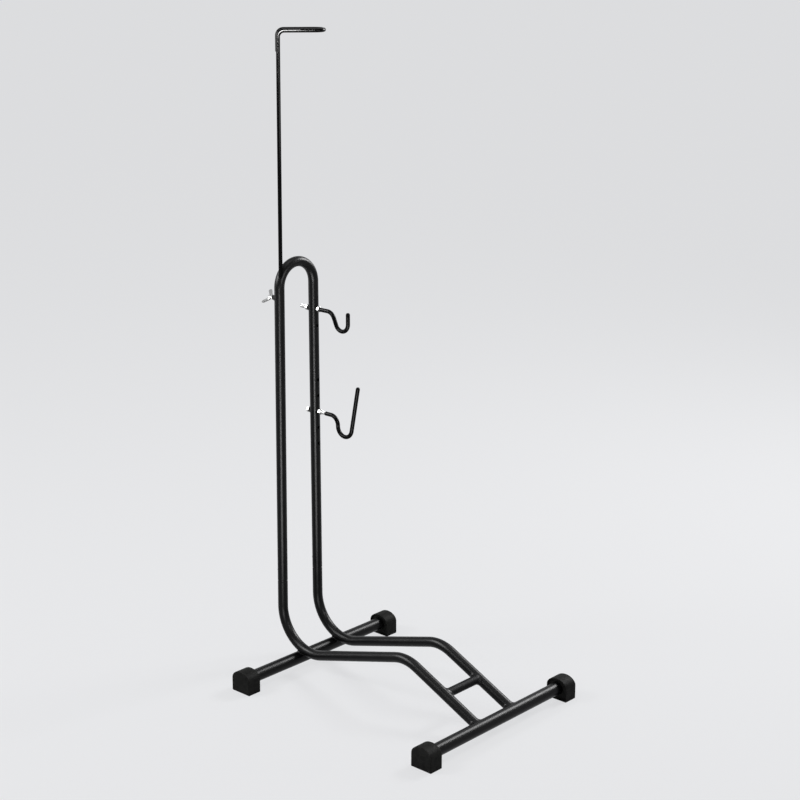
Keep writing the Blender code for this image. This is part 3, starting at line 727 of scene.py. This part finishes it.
def base_tube(name, side):
    """A bent base tube with a narrowed spigot on top, drawn from the spigot's end down to the front."""
    rise, fall = math.radians(RISE_ANGLE), math.radians(FALL_ANGLE)
    low_x = BEND_X + REAR_BEND_RADIUS * math.sin(rise)
    low_z = BEND_Z - REAR_BEND_RADIUS * math.cos(rise)
    drop = low_z - CROSS_TUBE_HEIGHT
    gap = FRONT_X - low_x
    crest = (gap * math.tan(fall) - drop) / (math.tan(rise) + math.tan(fall))
    trim = FRONT_BEND_RADIUS * math.tan((rise + fall) / 2)
    straight = (JOINT_HEIGHT - GROOVE_LENGTH - BEND_Z) / math.cos(LEAN)
    moves = [
        (SPIGOT_LENGTH + GROOVE_FLOOR,),
        *SHOULDER,
        (EDGE_BAND,),
        (straight - EDGE_BAND,),
        (MAIN_RADIUS, math.degrees(LEAN), -FORWARD * side),
        (REAR_BEND_RADIUS, 90.0 + RISE_ANGLE, -LEFT),
        (crest / math.cos(rise) - trim,),
        (FRONT_BEND_RADIUS, RISE_ANGLE + FALL_ANGLE, LEFT),
        ((gap - crest) / math.cos(fall) - trim,),
    ]
    start = leg(side, JOINT_HEIGHT + SPIGOT_LENGTH)
    tube = bent_bar(name + "_skin", start, -leg_heading(side), SPIGOT_RADIUS, moves)
    dress(tube, "frame", "black_enamel", name)


def brace_tube():
    """The short tube between the base tubes."""
    start = brace_centre() - LEFT * BASE_Y
    tube = bent_bar("brace_tube_skin", start, LEFT, BRACE_RADIUS, [(2 * BASE_Y,)])
    dress(tube, "frame", "black_enamel", "brace_tube")
    tube.data.materials[0] = BRACE_FINISH


def banded(length, spots):
    """A straight run with extra rings near its ends and round the holes at these distances."""
    marks = [EDGE_BAND, length - EDGE_BAND]
    marks = sorted(marks + [spot + step for spot in spots for step in (-HOLE_BAND, HOLE_BAND)])
    moves = []
    reached = 0.0
    for mark in marks + [length]:
        moves.append((mark - reached,))
        reached = mark
    return moves


def upright_hairpin():
    """The hairpin that makes both uprights, with its holes."""
    start = leg(-1, JOINT_HEIGHT + CLEARANCE)
    length = (ARCH_CENTRE_HEIGHT - start.z) / math.cos(LEAN)
    radius = ARCH_SPREAD / 2 / math.cos(LEAN)
    holes = [ARCH_CENTRE_HEIGHT - height for height in HOOK_HOLES]
    moves = banded(length, [CLAMP_HEIGHT - start.z])
    moves.append((radius, 180.0 - 2 * math.degrees(LEAN), -FORWARD))
    moves += banded(length, holes)
    tube = bent_bar("upright_hairpin_skin", start, leg_heading(-1), MAIN_RADIUS, moves, FINE_SIDES,
                    capped=False)
    thicken(tube, MAIN_WALL)
    reach = FORWARD * 2 * MAIN_RADIUS
    tools = [bar(leg(1, height) - reach, FORWARD, 4 * MAIN_RADIUS, BORE_RADIUS) for height in HOOK_HOLES]
    tools.append(bar(leg(-1, CLAMP_HEIGHT), -FORWARD, 2 * MAIN_RADIUS, BORE_RADIUS))
    slot_foot = rod_axis(ARCH_CENTRE_HEIGHT + MAIN_RADIUS)
    tools.append(bar(slot_foot, leg_heading(-1), ARCH_SPREAD, ROD_RADIUS + 2 * CLEARANCE))
    carve(tube, *tools)
    soften(tube, HOLE_EDGE)
    dress(tube, "frame", "black_enamel", "upright_hairpin")


def joint_screw(name, side):
    """A pan-head screw with a cross recess."""
    crown = SCREW_HEAD_RADIUS * SCREW_CROWN_SHARE
    brim = SCREW_HEAD_RADIUS - crown
    profile = [(0, SCREW_HEAD_HEIGHT)]
    for step in range(SCREW_HEAD_STEPS, -1, -1):
        angle = math.pi / 2 * step / SCREW_HEAD_STEPS
        profile.append((crown + brim * math.cos(angle), SCREW_HEAD_HEIGHT * math.sin(angle)))
    profile += [(SCREW_SHANK_RADIUS, 0), (SCREW_SHANK_RADIUS, -SCREW_GRIP), (0, -SCREW_GRIP)]
    place = leg(side, JOINT_HEIGHT + SCREW_HEIGHT) - FORWARD * (MAIN_RADIUS + CLEARANCE)
    matrix = stand(place, -FORWARD)
    screw = turned(name + "_head", profile, matrix)
    blades = []
    for turn in (0.0, 90.0):
        shape = bmesh.new()
        bmesh.ops.create_cone(shape, cap_ends=True, segments=4, radius1=RECESS_TIP_RADIUS,
                              radius2=RECESS_MOUTH_RADIUS, depth=RECESS_DEPTH)
        bmesh.ops.scale(shape, verts=shape.verts, vec=(1, RECESS_FLATNESS, 1))
        bmesh.ops.rotate(shape, verts=shape.verts, matrix=Matrix.Rotation(math.radians(turn), 3, "Z"))
        bmesh.ops.translate(shape, verts=shape.verts, vec=(0, 0, SCREW_HEAD_HEIGHT))
        bmesh.ops.transform(shape, matrix=matrix, verts=shape.verts)
        blades.append(new_object("blade", shape))
    carve(screw, *blades)
    dress(screw, "frame", "bright_zinc", name)


# Clamp

def clamp_boss():
    """The round weld nut, drawn in towards the bolt."""
    axis = leg(-1, CLAMP_HEIGHT)
    end = MAIN_RADIUS + CLEARANCE + BOSS_LENGTH
    profile = [(BORE_RADIUS, MAIN_RADIUS / 2), (BOSS_RADIUS, MAIN_RADIUS / 2)]
    profile += [(BOSS_RADIUS * share, MAIN_RADIUS + BOSS_LENGTH * rise) for share, rise in BOSS_CONE]
    profile += [(BOSS_RADIUS * share, end - short) for share, short in BOSS_ROUNDING]
    profile += [
        (BORE_RADIUS + BOSS_BORE_EDGE, end), (BORE_RADIUS, end - BOSS_BORE_EDGE),
        (BORE_RADIUS, MAIN_RADIUS / 2),
    ]
    boss = turned("clamp_boss_turned", profile, stand(axis, -FORWARD), TUBE_SIDES)
    dress(boss, "frame", "black_enamel", "clamp_boss")


def wing(side, matrix):
    """One bowed wing, thicker at its root."""
    shape = bmesh.new()
    tip = Vector((WING_SPAN / 2 - WING_TIP_RADIUS, 0, WING_RISE - WING_TIP_RADIUS))
    for way in (-1, 1):
        middle_of_tip = tip + LEFT * way * WING_THICKNESS * WING_TIP_HALF
        bmesh.ops.create_circle(shape, cap_ends=False, segments=24, radius=WING_TIP_RADIUS,
                                matrix=stand(middle_of_tip, LEFT))
        for height in (WING_ROOT_LOW, WING_ROOT_HIGH):
            shape.verts.new((WING_HUB_RADIUS / 2, way * WING_THICKNESS * WING_ROOT_HALF, height))
    spare = bmesh.ops.convex_hull(shape, input=shape.verts)["geom_interior"]
    bmesh.ops.delete(shape, geom=[item for item in spare if isinstance(item, bmesh.types.BMVert)],
                     context="VERTS")
    bmesh.ops.dissolve_limit(shape, angle_limit=WING_FLAT_ANGLE, verts=shape.verts, edges=shape.edges)
    for step in range(1, WING_SLICES):
        out = WING_SPAN / 2 * step / WING_SLICES
        bmesh.ops.bisect_plane(shape, geom=shape.verts[:] + shape.edges[:] + shape.faces[:],
                               plane_co=(out, 0, 0), plane_no=FORWARD)
    for spot in shape.verts:
        share = spot.co.x / (WING_SPAN / 2)
        spot.co.y += WING_BOW * share ** 2
    bmesh.ops.rotate(shape, verts=shape.verts, matrix=Matrix.Rotation(math.pi * (side < 0), 3, "Z"))
    bmesh.ops.recalc_face_normals(shape, faces=shape.faces)
    bmesh.ops.transform(shape, matrix=matrix, verts=shape.verts)
    return soften(new_object("wing", shape), WING_EDGE, segments=3, angle=50)


def wing_bolt():
    """The bolt that presses on the rod, with a hub and two wings."""
    stand_off = MAIN_RADIUS + 2 * CLEARANCE + BOSS_LENGTH
    place = leg(-1, CLAMP_HEIGHT) - FORWARD * stand_off
    tip = -stand_off - (ROD_OFFSET - ROD_RADIUS - CLEARANCE)
    matrix = stand(place, -FORWARD, -LEFT) @ Matrix.Rotation(math.radians(WING_TURN), 4, "Z")
    profile = [(0, WING_HUB_LENGTH - WING_HUB_DIMPLE)]
    profile += [(WING_HUB_TOP_RADIUS - inset, WING_HUB_LENGTH - drop) for inset, drop in WING_HUB_CROWN]
    profile += [
        (WING_HUB_RADIUS, WING_HUB_FOOT_RISE), (WING_HUB_RADIUS - WING_HUB_FOOT_INSET, 0),
        (THREAD_RADIUS, 0), (THREAD_RADIUS, tip + BOLT_CHAMFER), (THREAD_RADIUS - BOLT_CHAMFER, tip),
        (0, tip),
    ]
    bolt = turned("wing_bolt_cast", profile, matrix, TUBE_SIDES)
    combine(bolt, [wing(1, matrix), wing(-1, matrix)], "UNION")
    soften(bolt, BOLT_EDGE, segments=3, angle=40)
    dress(bolt, "wing_bolt", "bright_zinc", "wing_bolt", angle=40, flats=True)


# Sliding rod

def rod_guide():
    """The plastic plug on the rod's lower end."""
    axis = leg(-1, ROD_BOTTOM - GUIDE_FLOOR)
    profile = [
        (0, 0), (GUIDE_RADIUS - GUIDE_EDGE, 0), (GUIDE_RADIUS, GUIDE_EDGE),
        (GUIDE_RADIUS, GUIDE_LENGTH - GUIDE_EDGE), (GUIDE_RADIUS - GUIDE_EDGE, GUIDE_LENGTH),
        (0, GUIDE_LENGTH),
    ]
    plug = turned("rod_guide_plug", profile, stand(axis, leg_heading(-1)), TUBE_SIDES)
    socket = bar(rod_axis(ROD_BOTTOM), leg_heading(-1), 2 * GUIDE_LENGTH, ROD_RADIUS + CLEARANCE)
    carve(plug, socket)
    dress(plug, "rod_slider", "black_plastic", "rod_guide")


def hook_rod():
    """The rod with its flat loop, whose free end is turned down."""
    heading = math.radians(LOOP_HEADING)
    along = FORWARD * math.cos(heading) + LEFT * math.sin(heading)
    fold = UP.cross(along)
    straight = LOOP_LENGTH - ROD_BEND_RADIUS - LOOP_WIDTH / 2
    loop_height = ROD_TOP - ROD_RADIUS
    start = rod_axis(ROD_BOTTOM)
    length = (loop_height - ROD_BEND_RADIUS - start.z) / math.cos(LEAN)
    moves = [
        (ROD_CHAMFER, ROD_RADIUS),
        (EDGE_BAND,),
        (length - ROD_CHAMFER - EDGE_BAND,),
        (MAIN_RADIUS, math.degrees(LEAN), FORWARD),
        (ROD_BEND_RADIUS, 90.0, fold),
        (straight,),
        (LOOP_WIDTH / 2, 180.0, UP),
        (straight,),
        (ROD_BEND_RADIUS, 90.0, -fold),
        (LOOP_TIP_DROP - ROD_BEND_RADIUS - HOOK_TIP - EDGE_BAND,),
        (EDGE_BAND,),
    ]
    moves += rounding(ROD_RADIUS, HOOK_TIP)
    rod = bent_bar("hook_rod_bent", start, leg_heading(-1), ROD_RADIUS - ROD_CHAMFER, moves, WIRE_SIDES)
    dress(rod, "hook_rod", "black_enamel", "hook_rod")
    rod.data.materials[0] = ROD_FINISH


# Hooks

def hook_bends(hook, start):
    """The moves of a hook's bends, after a straight run that begins at a distance from the upright."""
    return [
        (hook["reach"] - start,),
        (HOOK_BEND_RADIUS, hook["dip"], LEFT),
        (hook["drop"],),
        (hook["radius"], hook["sweep"], -LEFT),
        (hook["tip"] - EDGE_BAND,),
        (EDGE_BAND,),
    ]


def thread(length, matrix):
    """A threaded shank along the local Z axis, with a chamfered free end at its start."""
    shape = bmesh.new()
    turns = math.ceil(length / THREAD_PITCH) + 1
    spots = []
    for number in range(turns):
        base = (number - 1) * THREAD_PITCH
        for share, radius in THREAD_FORM:
            spots.append(shape.verts.new((radius, 0, base + share * THREAD_PITCH)))
    edges = [shape.edges.new(pair) for pair in zip(spots, spots[1:])]
    bmesh.ops.spin(shape, geom=spots + edges, cent=(0, 0, 0), axis=(0, 0, 1),
                   dvec=(0, 0, THREAD_PITCH / THREAD_STEPS), angle=2 * math.pi, steps=THREAD_STEPS,
                   use_merge=False)
    bmesh.ops.remove_doubles(shape, verts=shape.verts, dist=2 * MERGE_DISTANCE)
    for height, way in ((0.0, -1), (length, 1)):
        everything = shape.verts[:] + shape.edges[:] + shape.faces[:]
        bmesh.ops.bisect_plane(shape, geom=everything, plane_co=(0, 0, height), plane_no=(0, 0, way),
                               clear_outer=True)
    bmesh.ops.remove_doubles(shape, verts=shape.verts, dist=2 * MERGE_DISTANCE)
    rims = [edge for edge in shape.edges if edge.is_boundary]
    bmesh.ops.edgeloop_fill(shape, edges=rims)
    bmesh.ops.recalc_face_normals(shape, faces=shape.faces)
    for spot in shape.verts:
        reach = math.hypot(spot.co.x, spot.co.y)
        limit = THREAD_RADIUS - max(THREAD_CHAMFER - spot.co.z, 0.0)
        if reach > limit:
            spot.co.x *= limit / reach
            spot.co.y *= limit / reach
    bmesh.ops.transform(shape, matrix=matrix, verts=shape.verts)
    return shape


def j_hook(name, hook):
    """A threaded shank bent into a J, and its dipped sleeve."""
    place = leg(1, hook["height"])
    body = name + "_hook"
    start = place - FORWARD * hook["tail"]
    threaded = hook["tail"] + hook["mouth"] + THREAD_IN_SLEEVE
    shank = new_object(body + "_thread", thread(threaded, stand(start, FORWARD)))
    bent = start + FORWARD * (threaded - WIRE_OVERLAP)
    moves = hook_bends(hook, threaded - WIRE_OVERLAP - hook["tail"]) + [(HOOK_TIP / 2,)]
    join(shank, bent_bar("wire", bent, FORWARD, THREAD_ROOT_RADIUS, moves, WIRE_SIDES))
    dress(shank, body, "bright_zinc", body + "_wire", angle=25)
    mouth = place + FORWARD * (hook["mouth"] + SLEEVE_INSIDE)
    moves = [(-SLEEVE_INSIDE,), *SLEEVE_MOUTH]
    moves += hook_bends(hook, hook["mouth"] + SLEEVE_MOUTH_LENGTH)
    moves += rounding(SLEEVE_RADIUS, HOOK_TIP + TIP_WALL)
    sleeve = bent_bar(body + "_dip", mouth, FORWARD, BORE_RADIUS, moves, WIRE_SIDES)
    dress(sleeve, body, "black_vinyl", body + "_sleeve")


def hex_nut(name, body, matrix):
    """A hexagon nut with its corners chamfered on both faces, and a funnel at each end of its bore."""
    face = NUT_ACROSS_FLATS / 2 * NUT_FACE_SHARE
    slope = math.tan(math.radians(NUT_CHAMFER_ANGLE))
    mouth = BORE_RADIUS + NUT_FUNNEL
    shape = bmesh.new()
    columns = []
    for step in range(FINE_SIDES):
        turn = 2 * math.pi * step / FINE_SIDES
        off_flat = (turn + math.pi / 6) % (math.pi / 3) - math.pi / 6
        side = NUT_ACROSS_FLATS / 2 / math.cos(off_flat)
        drop = (side - face) * slope
        profile = [
            (BORE_RADIUS, NUT_FUNNEL), (mouth, 0), (face, 0), (side, drop),
            (side, NUT_THICKNESS - drop), (face, NUT_THICKNESS), (mouth, NUT_THICKNESS),
            (BORE_RADIUS, NUT_THICKNESS - NUT_FUNNEL),
        ]
        columns.append([shape.verts.new((radius * math.cos(turn), radius * math.sin(turn), height))
                        for radius, height in profile])
    for column, following in zip(columns, columns[1:] + columns[:1]):
        for low in range(len(column)):
            high = (low + 1) % len(column)
            shape.faces.new((column[low], following[low], following[high], column[high]))
    bmesh.ops.recalc_face_normals(shape, faces=shape.faces)
    bmesh.ops.transform(shape, matrix=matrix, verts=shape.verts)
    nut = soften(new_object(name + "_hexagon", shape), NUT_EDGE, segments=2, angle=25)
    dress(nut, body, "bright_zinc", name, angle=25, flats=True)


def hook_hardware(name, hook):
    """The saddles and nuts on both sides of the upright."""
    axis = leg(1, hook["height"])
    for end, way in (("front", FORWARD), ("rear", -FORWARD)):
        face = MAIN_RADIUS + CLEARANCE + SADDLE_THICKNESS[end]
        neck = SADDLE_NECK[end]
        profile = [
            (BORE_RADIUS, MAIN_RADIUS / 2), (SADDLE_RADIUS, MAIN_RADIUS / 2),
            (SADDLE_RADIUS, MAIN_RADIUS - SADDLE_BRIM), (SADDLE_RADIUS - SADDLE_EDGE, MAIN_RADIUS),
            (neck, face - SADDLE_EDGE), (neck - SADDLE_CORNER, face - SADDLE_CORNER),
            (neck - SADDLE_EDGE, face), (BORE_RADIUS, face), (BORE_RADIUS, MAIN_RADIUS / 2),
        ]
        node = "%s_hook_%s_saddle" % (name, end)
        saddle = turned(node + "_pad", profile, stand(axis, way), TUBE_SIDES)
        foot_of_room = leg(1, hook["height"] - SADDLE_CUT_REACH)
        room = bar(foot_of_room, leg_heading(1), 2 * SADDLE_CUT_REACH, MAIN_RADIUS + CLEARANCE, FINE_SIDES)
        carve(saddle, room)
        dress(saddle, "frame", "black_plastic", node)
        seat = axis + way * (face + CLEARANCE)
        hex_nut("%s_hook_%s_nut" % (name, end), "%s_%s_nut" % (name, end), stand(seat, way, UP))


# Welds

def wrap(name, place, around=FINE_SIDES, across=10):
    """A closed ring whose skin is at place(turn, section), where both go from 0 to 1."""
    shape = bmesh.new()
    bmesh.ops.create_grid(shape, x_segments=around, y_segments=across, size=1)
    for spot in shape.verts:
        spot.co = place((spot.co.x + 1) / 2, (spot.co.y + 1) / 2)
    bmesh.ops.remove_doubles(shape, verts=shape.verts, dist=MERGE_DISTANCE)
    bmesh.ops.recalc_face_normals(shape, faces=shape.faces)
    bead = new_object(name + "_bead", shape)
    dress(bead, "frame", "black_enamel", name, angle=60)


def ripple(turn, ripples):
    """The small waves along a weld, which return to where they began."""
    quick = math.sin(2 * math.pi * ripples * turn)
    slow = math.sin(2 * math.pi * SLOW_RIPPLES * turn + SLOW_START)
    return (1 - SLOW_SHARE) * quick + SLOW_SHARE * slow


def rear_weld(name, side):
    """The bead where a base tube's bend lies on the rear cross tube."""
    centre = Vector((BEND_X, side * BASE_Y, BEND_Z))
    seat = REAR_BEND_RADIUS + MAIN_RADIUS
    inward = (centre - Vector((REAR_X, centre.y, CROSS_TUBE_HEIGHT))).normalized()
    along = LEFT.cross(inward)

    def place(turn, section):
        angle = 2 * math.pi * turn
        out = along * math.cos(angle) + LEFT * math.sin(angle)
        on_x = REAR_WELD_REACH * math.cos(angle)
        on_y = REAR_WELD_REACH * math.sin(angle)
        bend_rise = (on_y ** 2 / MAIN_RADIUS + on_x ** 2 / seat) / 2
        cross_fall = on_x ** 2 / CROSS_RADIUS / 2
        lift = (bend_rise - cross_fall) / 2
        spot = centre - inward * (seat - lift) + out * REAR_WELD_REACH
        radius = BEAD_RADIUS * (1 + BEAD_RIPPLE * ripple(turn, BEAD_RIPPLES))
        swing = 2 * math.pi * section
        return spot + (out * math.cos(swing) + inward * math.sin(swing)) * radius

    wrap(name, place)


def branch_weld(name, joint, branch, branch_radius, main, main_radius,
                leg_length=FILLET, flare=FILLET_FLARE, ripples=FILLET_RIPPLES):
    """The hollow fillet round a branch that ends on a main tube.

    The flare makes it longer where it runs along the main tube.
    """
    side = main.cross(branch)

    def on_main(angle, out, sunk):
        swing = math.asin(min(branch_radius * math.cos(angle) / main_radius, 1.0))
        swing += out * math.cos(angle) / main_radius
        reach = main_radius - sunk
        return (joint + side * (reach * math.sin(swing)) + branch * (reach * math.cos(swing))
                + main * ((branch_radius + out) * math.sin(angle)))

    def on_branch(angle, up, sunk):
        across = side * math.cos(angle) + main * math.sin(angle)
        rise = math.sqrt(max(main_radius ** 2 - (branch_radius * math.cos(angle)) ** 2, 0.0))
        return joint + across * (branch_radius - sunk) + branch * (rise + up)

    def place(turn, section):
        angle = 2 * math.pi * turn
        reach = leg_length * (1 + FILLET_RIPPLE * ripple(turn, ripples)) * (1 + flare * math.sin(angle) ** 2)
        root = on_branch(angle, -ROOT_SUNK, ROOT_SUNK)
        start = on_main(angle, reach, TOE_SUNK)
        end = on_branch(angle, reach, TOE_SUNK)
        step = section * FILLET_STEPS
        last = FILLET_STEPS - 1
        if step > last:
            return root.lerp(end, step - last)
        if step < 1:
            return root.lerp(start, step)
        share = (step - 1) / (last - 1)
        corner = on_branch(angle, FILLET_HOLLOW, 0).lerp(on_main(angle, FILLET_HOLLOW, 0), 0.5)
        return start * (1 - share) ** 2 + corner * (2 * share * (1 - share)) + end * share ** 2

    wrap(name, place)


def build():
    """Make every piece of the stand."""
    cross_tube("front_cross_tube", FRONT_X)
    cross_tube("rear_cross_tube", REAR_X)
    for word, side in SIDES.items():
        foot("front_%s_foot" % word, FRONT_X, side)
        foot("rear_%s_foot" % word, REAR_X, side)
        base_tube("%s_base_tube" % word, side)
        joint_screw("%s_joint_screw" % word, side)
        rear_weld("rear_%s_weld" % word, side)
        end = Vector((FRONT_X, side * BASE_Y, CROSS_TUBE_HEIGHT))
        branch_weld("front_%s_weld" % word, end, -fall_heading(), MAIN_RADIUS, LEFT, CROSS_RADIUS)
        branch_weld("brace_%s_weld" % word, brace_centre() + LEFT * side * BASE_Y, -LEFT * side,
                    BRACE_RADIUS, fall_heading(), MAIN_RADIUS)
    brace_tube()
    upright_hairpin()
    clamp_boss()
    branch_weld("clamp_boss_weld", leg(-1, CLAMP_HEIGHT), -FORWARD, BOSS_WELD_RADIUS, leg_heading(-1),
                MAIN_RADIUS, leg_length=BOSS_FILLET, flare=0.0, ripples=BOSS_FILLET_RIPPLES)
    wing_bolt()
    rod_guide()
    hook_rod()
    for name, hook in HOOKS.items():
        j_hook(name, hook)
        hook_hardware(name, hook)


# Floor and light

PALE = (0.86, 0.865, 0.88, 1)
FLOOR_COLOUR = (0.78, 0.785, 0.80, 1)
FLOOR_RADIUS = 60.0
FLOOR_GLOW = 0.76
BACKDROP_FILL = 0.4
BACKDROP_SEEN = 1.0
FLOOR_CARD_HEIGHT = 0.002
CAMERA_TURN = math.radians(CAMERA_AZIMUTH)
TO_CAMERA = Vector((math.sin(CAMERA_TURN), -math.cos(CAMERA_TURN), 0))
TO_RIGHT = Vector((math.cos(CAMERA_TURN), math.sin(CAMERA_TURN), 0))


def seen_share(nodes, links):
    """One where the camera sees the surface, straight or by a reflection."""
    path = nodes.new("ShaderNodeLightPath")
    total = path.outputs["Is Camera Ray"]
    for kind in ("Is Glossy Ray", "Is Transmission Ray"):
        add = nodes.new("ShaderNodeMath")
        add.operation = "ADD"
        add.use_clamp = True
        links.new(total, add.inputs[0])
        links.new(path.outputs[kind], add.inputs[1])
        total = add.outputs[0]
    return total


def floor():
    """A plain pale floor that keeps the stand's shadow."""
    shape = bmesh.new()
    bmesh.ops.create_circle(shape, cap_ends=True, segments=64, radius=FLOOR_RADIUS)
    ground = new_object("floor", shape)
    material = bpy.data.materials.new("pale_floor")
    material.use_nodes = True
    nodes, links = material.node_tree.nodes, material.node_tree.links
    nodes.clear()
    matt = nodes.new("ShaderNodeBsdfDiffuse")
    matt.inputs["Color"].default_value = FLOOR_COLOUR
    glow = nodes.new("ShaderNodeEmission")
    glow.inputs["Color"].default_value = PALE
    share = nodes.new("ShaderNodeMath")
    share.operation = "MULTIPLY"
    share.inputs[1].default_value = FLOOR_GLOW
    links.new(seen_share(nodes, links), share.inputs[0])
    mix = nodes.new("ShaderNodeMixShader")
    links.new(share.outputs[0], mix.inputs["Fac"])
    links.new(matt.outputs[0], mix.inputs[1])
    links.new(glow.outputs[0], mix.inputs[2])
    output = nodes.new("ShaderNodeOutputMaterial")
    links.new(mix.outputs[0], output.inputs["Surface"])
    ground.data.materials.append(material)


def world():
    """A pale backdrop that gives a soft fill, and is brighter where it is seen."""
    backdrop = bpy.data.worlds.new("backdrop")
    bpy.context.scene.world = backdrop
    backdrop.use_nodes = True
    nodes, links = backdrop.node_tree.nodes, backdrop.node_tree.links
    shader = nodes["Background"]
    shader.inputs["Color"].default_value = PALE
    strength = nodes.new("ShaderNodeMapRange")
    strength.inputs["To Min"].default_value = BACKDROP_FILL
    strength.inputs["To Max"].default_value = BACKDROP_SEEN
    links.new(seen_share(nodes, links), strength.inputs["Value"])
    links.new(strength.outputs[0], shader.inputs["Strength"])


def lamp(name, place, target, width, height, power, card=False, spread=180.0):
    """A soft rectangular lamp that looks at a target, or a card that only shows in gloss."""
    data = bpy.data.lights.new(name, "AREA")
    data.shape = "RECTANGLE"
    data.size = width
    data.size_y = height
    data.energy = power
    data.spread = math.radians(spread)
    light = bpy.data.objects.new(name, data)
    bpy.context.scene.collection.objects.link(light)
    toward = place - target
    across = UP.cross(toward) if abs(toward.normalized().z) < NEARLY_ALONG else TO_RIGHT
    light.matrix_world = stand(place, toward.normalized(), across)
    light.visible_camera = False
    light.visible_diffuse = not card


def around(turn, distance, height):
    """A place round the uprights, at a turn anticlockwise from the camera."""
    out = Matrix.Rotation(math.radians(turn), 3, "Z") @ TO_CAMERA
    return Vector((UPRIGHT_X, 0, height)) + out * distance


def light():
    """Two plain lamps for the floor and its shadows, and cards for the gloss.

    Each has a place, a target, a width and a height in metres, and a power in watts.
    """
    heart = Vector((0, 0, 0.6))
    rod_middle = Vector((UPRIGHT_X, 0, 1.45))
    loop_middle = rod_middle + UP * 0.17
    lamp("right_lamp", around(118, 3.0, 2.6), heart, width=1.0, height=1.0, power=60)
    lamp("left_lamp", around(-80, 3.0, 2.6), heart, width=1.0, height=1.0, power=45)
    lamp("right_card", around(121, 2.8, 2.2), heart, width=1.6, height=1.8, power=125, card=True)
    lamp("left_card", around(-73, 1.9, 1.95), heart, width=2.0, height=1.4, power=128, card=True)
    lamp("rod_card", around(45, 1.6, 1.28), rod_middle, width=0.9, height=0.36, power=17, card=True)
    lamp("loop_card", around(0, 0.8, 1.74), loop_middle, width=0.3, height=0.40, power=12,
         card=True, spread=44.0)
    lamp("left_low_card", around(-102, 2.4, 0.7), heart, width=0.4, height=0.8, power=6, card=True)
    lamp("top_card", Vector((0, 0, 3.6)), heart, width=1.6, height=1.6, power=24, card=True)
    for name, near, far, width, power in (("near", 0.76, 1.70, 0.55, 31), ("far", 1.70, 3.80, 0.95, 225)):
        low = around(-1, (near + far) / 2, FLOOR_CARD_HEIGHT)
        lamp(name + "_floor_card", low, low + UP, width, far - near, power, card=True)


build()
floor()
world()
light()
bpy.context.scene.view_settings.view_transform = "Standard"
